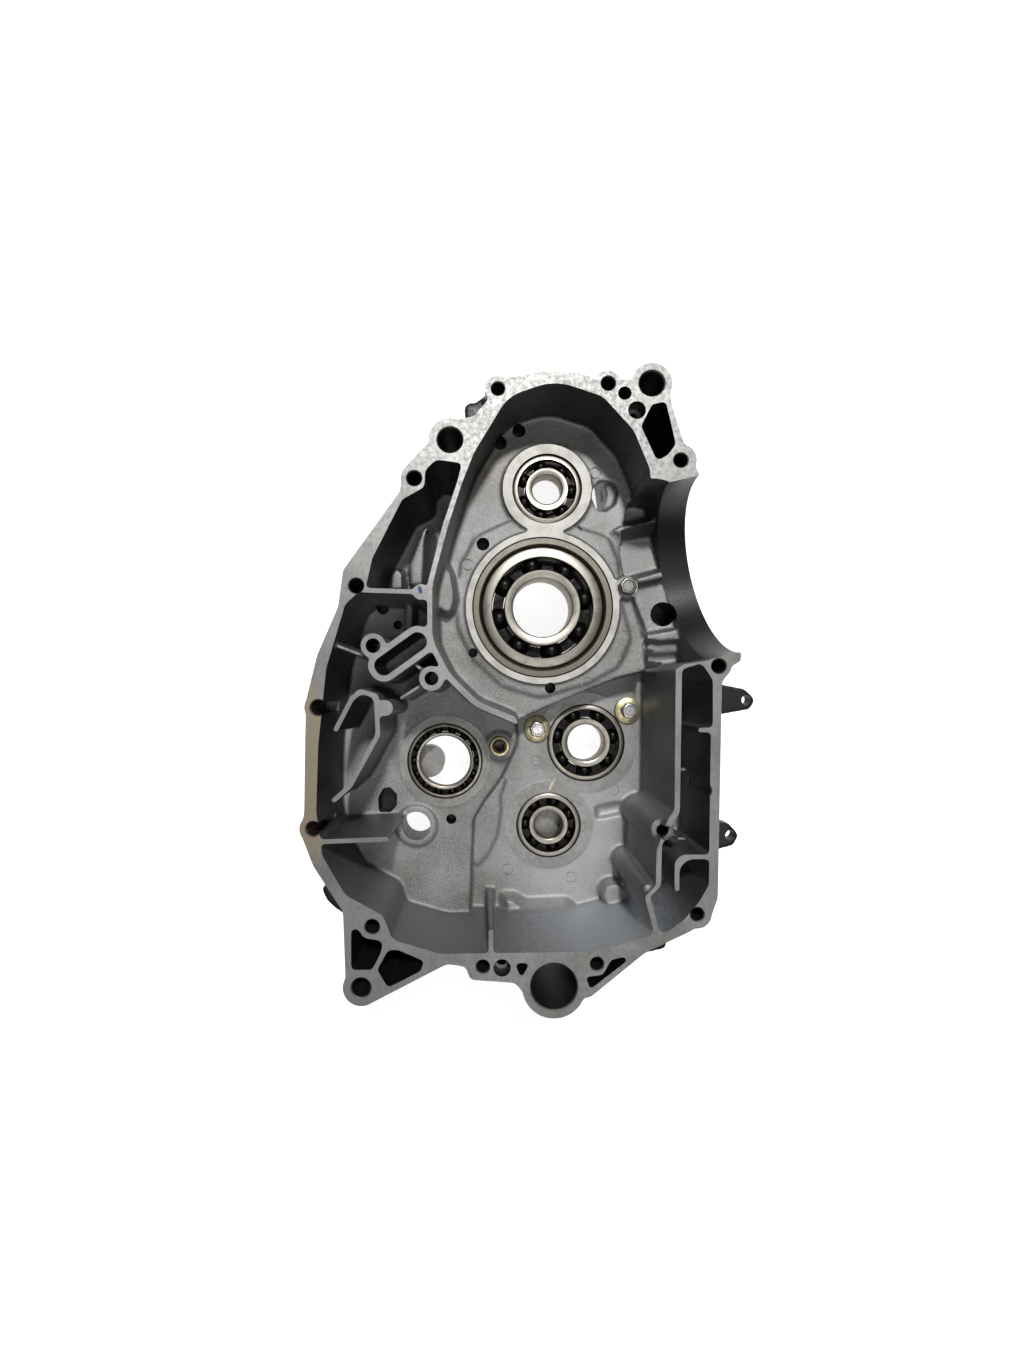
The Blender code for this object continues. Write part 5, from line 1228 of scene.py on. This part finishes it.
def make_cage(name, looks):
    """The balls in their pressed cage: two halves that dome over them and meet in riveted tabs."""
    x, y, face, _, _, width, ball, count, pitch = BEARINGS[name]
    middle = face - width / 2.0
    half_band = ball * LAND_SHARE - CAGE_GAP
    sheet = CAGE_SHEET * ball
    per_ball = 28 if count < 10 else 20
    shape = bmesh.new()
    rows = 6
    strip = [shape.verts.new(((pitch - half_band + 2.0 * half_band * i / rows) * MM, 0.0, 0.0))
             for i in range(rows + 1)]
    edges = [shape.edges.new((a, b)) for a, b in zip(strip, strip[1:])]
    spin_round(shape, strip + edges, per_ball * count)
    dome = ball / 2.0 + DOME_GAP
    for vert in shape.verts:
        angle = math.atan2(vert.co.y, vert.co.x) * count / (2.0 * math.pi)
        centre = round(angle) * 2.0 * math.pi / count
        offset = math.hypot(vert.co.x / MM - pitch * math.cos(centre),
                            vert.co.y / MM - pitch * math.sin(centre))
        rise = math.sqrt(max(0.0, dome * dome - offset * offset))
        vert.co.z = max(0.02, rise) * MM
    bmesh.ops.recalc_face_normals(shape, faces=shape.faces)
    if sum(f.normal.z for f in shape.faces) < 0.0:
        bmesh.ops.reverse_faces(shape, faces=shape.faces)
    bmesh.ops.solidify(shape, geom=shape.faces, thickness=-sheet * MM)
    for i in range(count):
        angle = 2.0 * math.pi * (i + 0.5) / count
        at = (pitch * math.cos(angle) * MM, pitch * math.sin(angle) * MM, (sheet + 0.1) * MM)
        rivet = bmesh.ops.create_cone(
            shape, cap_ends=True, segments=20, radius1=ball * RIVET_FOOT * MM,
            radius2=ball * RIVET_CROWN * MM, depth=ball * RIVET_HEIGHT * MM)
        bmesh.ops.translate(shape, verts=rivet["verts"], vec=at)
        crown = max({f for v in rivet["verts"] for f in v.link_faces},
                    key=lambda f: f.calc_center_median().z)
        bmesh.ops.inset_region(shape, faces=[crown], thickness=ball * 0.045 * MM, depth=0.0)
        bmesh.ops.inset_region(
            shape, faces=[crown], thickness=ball * 0.01 * MM, depth=-ball * 0.07 * MM)
        for side in {f for v in rivet["verts"] for f in v.link_faces}:
            side.material_index = 1
    upper = list(shape.verts) + list(shape.edges) + list(shape.faces)
    bmesh.ops.mirror(shape, geom=upper, matrix=Matrix.Identity(4), merge_dist=-1.0, axis="Z")
    bmesh.ops.recalc_face_normals(shape, faces=shape.faces)
    for i in range(count):
        angle = 2.0 * math.pi * i / count
        done = set(shape.faces)
        made = bmesh.ops.create_uvsphere(
            shape, u_segments=32, v_segments=20, radius=ball / 2.0 * MM)
        bmesh.ops.translate(shape, verts=made["verts"],
                            vec=(pitch * math.cos(angle) * MM, pitch * math.sin(angle) * MM, 0.0))
        for face_ in set(shape.faces) - done:
            face_.material_index = 1
    turn = Matrix.Rotation(math.radians(CAGE_TURNS.get(name, 0.0)), 3, "Z")
    bmesh.ops.rotate(shape, verts=shape.verts, matrix=turn)
    bmesh.ops.translate(shape, verts=shape.verts, vec=place(x, y, middle))
    piece = new_object(f"{name}_ball_cage", finish_mesh(shape, f"{name}_ball_cage"))
    smooth_by_angle(piece.data, 40.0)
    for look in looks:
        piece.data.materials.append(look)
    settle(piece, f"{name}_ball_cage", "ball_cage_steel", f"{name}_bearing_ball_cage")


def make_insert():
    """The steel ring cast into the main bearing's boss."""
    x, y, face, outer, *_ = BEARINGS["main"]
    inner = outer / 2.0 + SEAT_GAP
    wall = inner + INSERT_WALL
    low = seat_height("main") + SEAT_GAP
    high = face + 0.8
    profile = [(wall - 0.4, high), (wall, high - 0.4), (wall, low), (inner, low),
               (inner, high - 1.2), (inner + 0.5, high - 0.5), (inner + 1.2, high)]
    ring = turned("bearing_insert", (x, y), 0.0, profile, 160)
    ring.data.materials.append(
        turned_steel("turned_insert_steel", (x, y), "#7E7A70", "#68645B", 0.4, [(inner, 1.2)]))
    settle(ring, "crankcase", "insert_steel", "main_bearing_steel_insert")


def round_edges(shape, edges, radius, steps):
    bmesh.ops.bevel(shape, geom=edges, offset=radius * MM, offset_type="OFFSET", segments=steps,
                    profile=0.5, affect="EDGES", material=-1)


def make_bolt(name, centre, seat, look):
    """A hexagon bolt: a chamfered head dished on top, on its shank."""
    shape = bmesh.new()
    corner = HEAD_ACROSS / 2.0 / math.cos(math.pi / 6.0)
    bmesh.ops.create_cone(shape, cap_ends=True, segments=6, radius1=corner * MM,
                          radius2=corner * MM, depth=HEAD_HEIGHT * MM)
    bmesh.ops.rotate(shape, verts=shape.verts, matrix=Matrix.Rotation(HEAD_TURN, 3, "Z"))
    bmesh.ops.translate(shape, verts=shape.verts, vec=(0.0, 0.0, HEAD_HEIGHT / 2.0 * MM))
    top = [f for f in shape.faces if f.normal.z > 0.9]
    rim = list({e for f in top for e in f.edges})
    round_edges(shape, rim, 0.7, 3)
    sides = [e for e in shape.edges if abs((e.verts[0].co - e.verts[1].co).normalized().z) > 0.9]
    round_edges(shape, sides, 0.25, 2)
    top = max(shape.faces, key=lambda f: f.calc_center_median().z + f.calc_area())
    bmesh.ops.inset_region(shape, faces=[top], thickness=0.5 * MM, depth=0.0)
    bmesh.ops.inset_region(shape, faces=[top], thickness=0.5 * MM, depth=-0.55 * MM)
    made = bmesh.ops.create_cone(shape, cap_ends=True, segments=32, radius1=2.6 * MM,
                                 radius2=2.9 * MM, depth=(BOLT_LENGTH + 1.0) * MM)
    bmesh.ops.translate(shape, verts=made["verts"], vec=(0.0, 0.0, (1.0 - BOLT_LENGTH) / 2.0 * MM))
    bmesh.ops.translate(shape, verts=shape.verts, vec=place(*centre, seat))
    bolt = new_object(name + "_hex", finish_mesh(shape, name))
    smooth_by_angle(bolt.data, 30.0)
    bolt.data.materials.append(look)
    settle(bolt, "crankcase", "bright_zinc", name)


def make_washer(bolt_name, centre, look):
    """A domed washer with a rounded rim."""
    low = GEAR_FLOOR_Z + SEAT_GAP
    high = low + WASHER_HEIGHT
    profile = [(WASHER_BORE, low), (7.1, low), (7.4, low + 0.3)]
    profile += arc(6.8, low + 0.9, 0.6, 0.0, 80.0, 5)
    profile += [(5.4, low + 1.85), (4.6, high), (WASHER_BORE, high)]
    name = RETAINER_WASHERS[bolt_name]
    washer = turned(name + "_domed", centre, 0.0, profile, 96)
    washer.data.materials.append(look)
    settle(washer, "crankcase", "yellow_zinc", name)


def make_sleeve(look):
    """The flanged oil sleeve beside the shift drum."""
    seat = SLEEVE_FACE_Z + SEAT_GAP
    low, high, flange = seat - 5.7, seat + 5.0, seat + 1.5
    profile = [(SLEEVE_BORE, low), (4.2, low), (4.2, seat), (5.3, seat), (5.3, flange - 0.4),
               (4.9, flange), (3.9, flange + 0.1), (3.7, flange + 0.6), (3.5, high - 0.5),
               (3.1, high), (SLEEVE_BORE, high - 0.4)]
    sleeve = turned("oil_sleeve_flanged", OIL_SLEEVE, 0.0, profile, 80)
    sleeve.data.materials.append(look)
    settle(sleeve, "crankcase", "yellow_zinc", "oil_sleeve")


class CrankcaseSizes(bpy.types.PropertyGroup):
    voxel: FloatProperty(
        name="Casting detail", description="Size of the casting's surface cells, in millimetres",
        default=0.85, min=0.5, max=2.0)
    softness: IntProperty(
        name="Fillet softness", description="Smoothing passes that round the cast edges",
        default=5, min=0, max=20)
    triangles: IntProperty(
        name="Casting triangles", description="Triangles kept in the casting before machining",
        default=150000, min=20000, max=170000)
    light: FloatProperty(
        name="Key light", description="Power of the key softbox, in watts", default=31.0, min=0.0,
        unit="POWER")


class CrankcaseColours(bpy.types.PropertyGroup):
    floor: FloatVectorProperty(
        name="Floor", description="Colour of the floor under the part", subtype="COLOR", size=4,
        default=(0.9, 0.9, 0.9, 1.0), min=0.0, max=1.0)


class CRANKCASE_OT_casting(bpy.types.Operator):
    """Builds the casting: a blank, its hollows and fittings, rounded as cast, then machined"""
    bl_idname = "crankcase.casting"
    bl_label = "Casting"

    def execute(self, context):
        sizes = context.scene.crankcase_sizes
        stages = [hidden(name) for name in ("casting_blank", "casting_hollows", "casting_fittings")]
        blank, hollows, fittings = stages
        cast_blank(blank)
        cast_hollows(hollows)
        cast_fittings(fittings)
        core = inset_corners(OUTER_EDGE, WALL_INSET)
        casting = slab("cast_crankcase", core, -STOCK, PARTING_Z + STOCK, None)
        boolean(casting, "UNION", blank)
        boolean(casting, "DIFFERENCE", hollows)
        boolean(casting, "UNION", fittings)
        remesh = casting.modifiers.new("Cells", "REMESH")
        remesh.mode = "VOXEL"
        remesh.voxel_size = sizes.voxel * MM
        soften = casting.modifiers.new("Fillets", "SMOOTH")
        soften.factor = 0.5
        soften.iterations = sizes.softness
        bake_modifiers(casting)
        for stage in stages:
            drop(stage)
        thin = casting.modifiers.new("Thin", "DECIMATE")
        thin.ratio = min(1.0, sizes.triangles / (2.0 * len(casting.data.polygons)))
        bake_modifiers(casting)
        give_finish(casting.data, CAST)
        casting.data.materials.clear()
        for look in (cast_aluminium(), machined_aluminium(), black_paint(), faced_aluminium()):
            casting.data.materials.append(look)
        cuts = hidden("casting_cuts")
        machine_casting(cuts)
        give_slots(cuts)
        for cut in cuts.objects:
            finish = CAST if cut.name.startswith("cored_") else MACHINED
            # Black inside: real paint in the spigot bore, painted shade in the blind holes and the
            # drum pocket
            if cut.name.startswith(PAINT_AND_SHADE_CUTS):
                finish = PAINTED
            elif cut.name in FACED_CUTS:
                finish = FACED
            give_finish(cut.data, finish)
        boolean(casting, "DIFFERENCE", cuts)
        bake_modifiers(casting)
        drop(cuts)
        paint_outside(casting.data)
        smooth_by_angle(casting.data, 38.0)
        settle(casting, "crankcase", "cast_aluminium", "crankcase_casting")
        return {"FINISHED"}


class CRANKCASE_OT_bearings(bpy.types.Operator):
    """Builds the five ball bearings, each with its races, cage and balls"""
    bl_idname = "crankcase.bearings"
    bl_label = "Bearings"

    def execute(self, context):
        looks = [blackened_cage(), polished_ball()]
        for name in BEARINGS:
            make_races(name)
            make_cage(name, looks)
        make_insert()
        return {"FINISHED"}


class CRANKCASE_OT_fasteners(bpy.types.Operator):
    """Builds the screws, their washers and the oil sleeve"""
    bl_idname = "crankcase.fasteners"
    bl_label = "Fasteners"

    def execute(self, context):
        bright = plated_steel("bright_zinc_plate", "#D4D4D2", "#B4B3B0", 0.24)
        yellow = plated_steel("yellow_zinc_plate", "#D8D0A8", "#B9AE84", 0.3)
        for name, centre in RETAINER_BOLTS.items():
            make_washer(name, centre, yellow)
            make_bolt(name, centre, GEAR_FLOOR_Z + SEAT_GAP + WASHER_HEIGHT + SEAT_GAP, bright)
        dull = plated_steel("dull_zinc_plate", "#94928B", "#76746D", 0.34)
        make_bolt("stop_bolt", STOP_BOLT, STOP_BOLT_FACE + SEAT_GAP, dull)
        make_sleeve(yellow)
        return {"FINISHED"}


def softbox(name, at, target, size, power):
    lamp = bpy.data.lights.new(name, "AREA")
    lamp.shape = "DISK"
    lamp.size = size
    lamp.energy = power
    obj = bpy.data.objects.new(name, lamp)
    bpy.context.scene.collection.objects.link(obj)
    obj.location = at
    obj.rotation_euler = (Vector(target) - Vector(at)).to_track_quat("-Z", "Y").to_euler()


class CRANKCASE_OT_stage(bpy.types.Operator):
    """Builds the floor, the softboxes, the surroundings and the camera"""
    bl_idname = "crankcase.stage"
    bl_label = "Stage"

    def execute(self, context):
        scene = context.scene
        scene.view_settings.view_transform = "Standard"
        shape = bmesh.new()
        bmesh.ops.create_circle(shape, cap_ends=True, segments=96, radius=4.0)
        bmesh.ops.translate(shape, verts=shape.verts, vec=(0.0, 0.0, -0.0004))
        floor = new_object("floor", finish_mesh(shape, "floor"))
        look, tree, shader, at = new_material("pale_studio_floor")
        shader.inputs["Roughness"].default_value = 0.9
        shader.inputs["Base Color"].default_value = scene.crankcase_colours.floor
        tree.nodes.remove(at.node)
        paths = node(tree, "ShaderNodeLightPath").outputs
        seen = combined(tree, "MAXIMUM", paths["Is Camera Ray"], paths["Is Glossy Ray"])
        seen = combined(tree, "MAXIMUM", seen, paths["Is Transmission Ray"])
        glow = node(tree, "ShaderNodeEmission", {
            "Strength": combined(tree, "MULTIPLY", seen, FLOOR_GLOW)})
        both = node(tree, "ShaderNodeAddShader", {0: shader.outputs[0], 1: glow.outputs[0]})
        tree.links.new(both.outputs[0], tree.nodes["Material Output"].inputs["Surface"])
        floor.data.materials.append(look)
        world = bpy.data.worlds.new("studio")
        scene.world = world
        world.use_nodes = True
        sky = world.node_tree
        ground = sky.nodes["Background"]
        paths = node(sky, "ShaderNodeLightPath").outputs
        seen = combined(sky, "MAXIMUM", paths["Is Camera Ray"], paths["Is Transmission Ray"])
        gloss = combined(sky, "MULTIPLY", paths["Is Glossy Ray"], SKY_GLOSS)
        seen = combined(sky, "MAXIMUM", seen, gloss)
        white = node(sky, "ShaderNodeBackground", {"Color": (1.0, 1.0, 1.0, 1.0), "Strength": 1.0})
        ground.inputs["Color"].default_value = linear("#D8DCE2")
        ground.inputs["Strength"].default_value = SKY_FILL
        chosen = node(sky, "ShaderNodeMixShader", {
            0: seen, 1: ground.outputs[0], 2: white.outputs[0]})
        sky.links.new(chosen.outputs[0], sky.nodes["World Output"].inputs["Surface"])
        centre = (0.0, 0.0, 0.05)
        key = scene.crankcase_sizes.light
        softbox("key_softbox", KEY_PLACE, centre, KEY_SIZE, key)
        softbox("top_softbox", TOP_PLACE, centre, TOP_SIZE, key * TOP_SHARE)
        camera = bpy.data.cameras.new("camera")
        camera.sensor_width = SENSOR_WIDTH
        camera.lens = SENSOR_WIDTH * FOCAL_PIXELS / IMAGE_SIZE[1]
        camera.shift_x = (IMAGE_SIZE[0] / 2.0 - AXIS_PIXEL[0]) / IMAGE_SIZE[1]
        camera.shift_y = (AXIS_PIXEL[1] - IMAGE_SIZE[1] / 2.0) / IMAGE_SIZE[1]
        camera.clip_start = 0.01
        view = bpy.data.objects.new("camera", camera)
        scene.collection.objects.link(view)
        view.location = place(*AXIS_PLACE, PARTING_Z + CAMERA_DISTANCE)
        scene.camera = view
        return {"FINISHED"}


class CRANKCASE_PT_panel(bpy.types.Panel):
    """Lists the pieces in the sidebar"""
    bl_idname = "CRANKCASE_PT_panel"
    bl_label = "Crankcase half"
    bl_space_type = "VIEW_3D"
    bl_region_type = "UI"
    bl_category = "Crankcase"

    def draw(self, context):
        column = self.layout.column()
        for group in (context.scene.crankcase_sizes, context.scene.crankcase_colours):
            for name in group.__annotations__:
                column.prop(group, name)
        for operator in OPERATORS:
            column.operator(operator.bl_idname)


OPERATORS = (
    CRANKCASE_OT_casting, CRANKCASE_OT_bearings, CRANKCASE_OT_fasteners, CRANKCASE_OT_stage)
CLASSES = (CrankcaseSizes, CrankcaseColours, *OPERATORS, CRANKCASE_PT_panel)


def register():
    for each in CLASSES:
        bpy.utils.register_class(each)
    bpy.types.Scene.crankcase_sizes = PointerProperty(type=CrankcaseSizes)
    bpy.types.Scene.crankcase_colours = PointerProperty(type=CrankcaseColours)


def unregister():
    del bpy.types.Scene.crankcase_colours
    del bpy.types.Scene.crankcase_sizes
    for each in reversed(CLASSES):
        bpy.utils.unregister_class(each)


def main():
    register()
    bpy.ops.crankcase.casting()
    bpy.ops.crankcase.bearings()
    bpy.ops.crankcase.fasteners()
    bpy.ops.crankcase.stage()


if __name__ == "__main__":
    main()
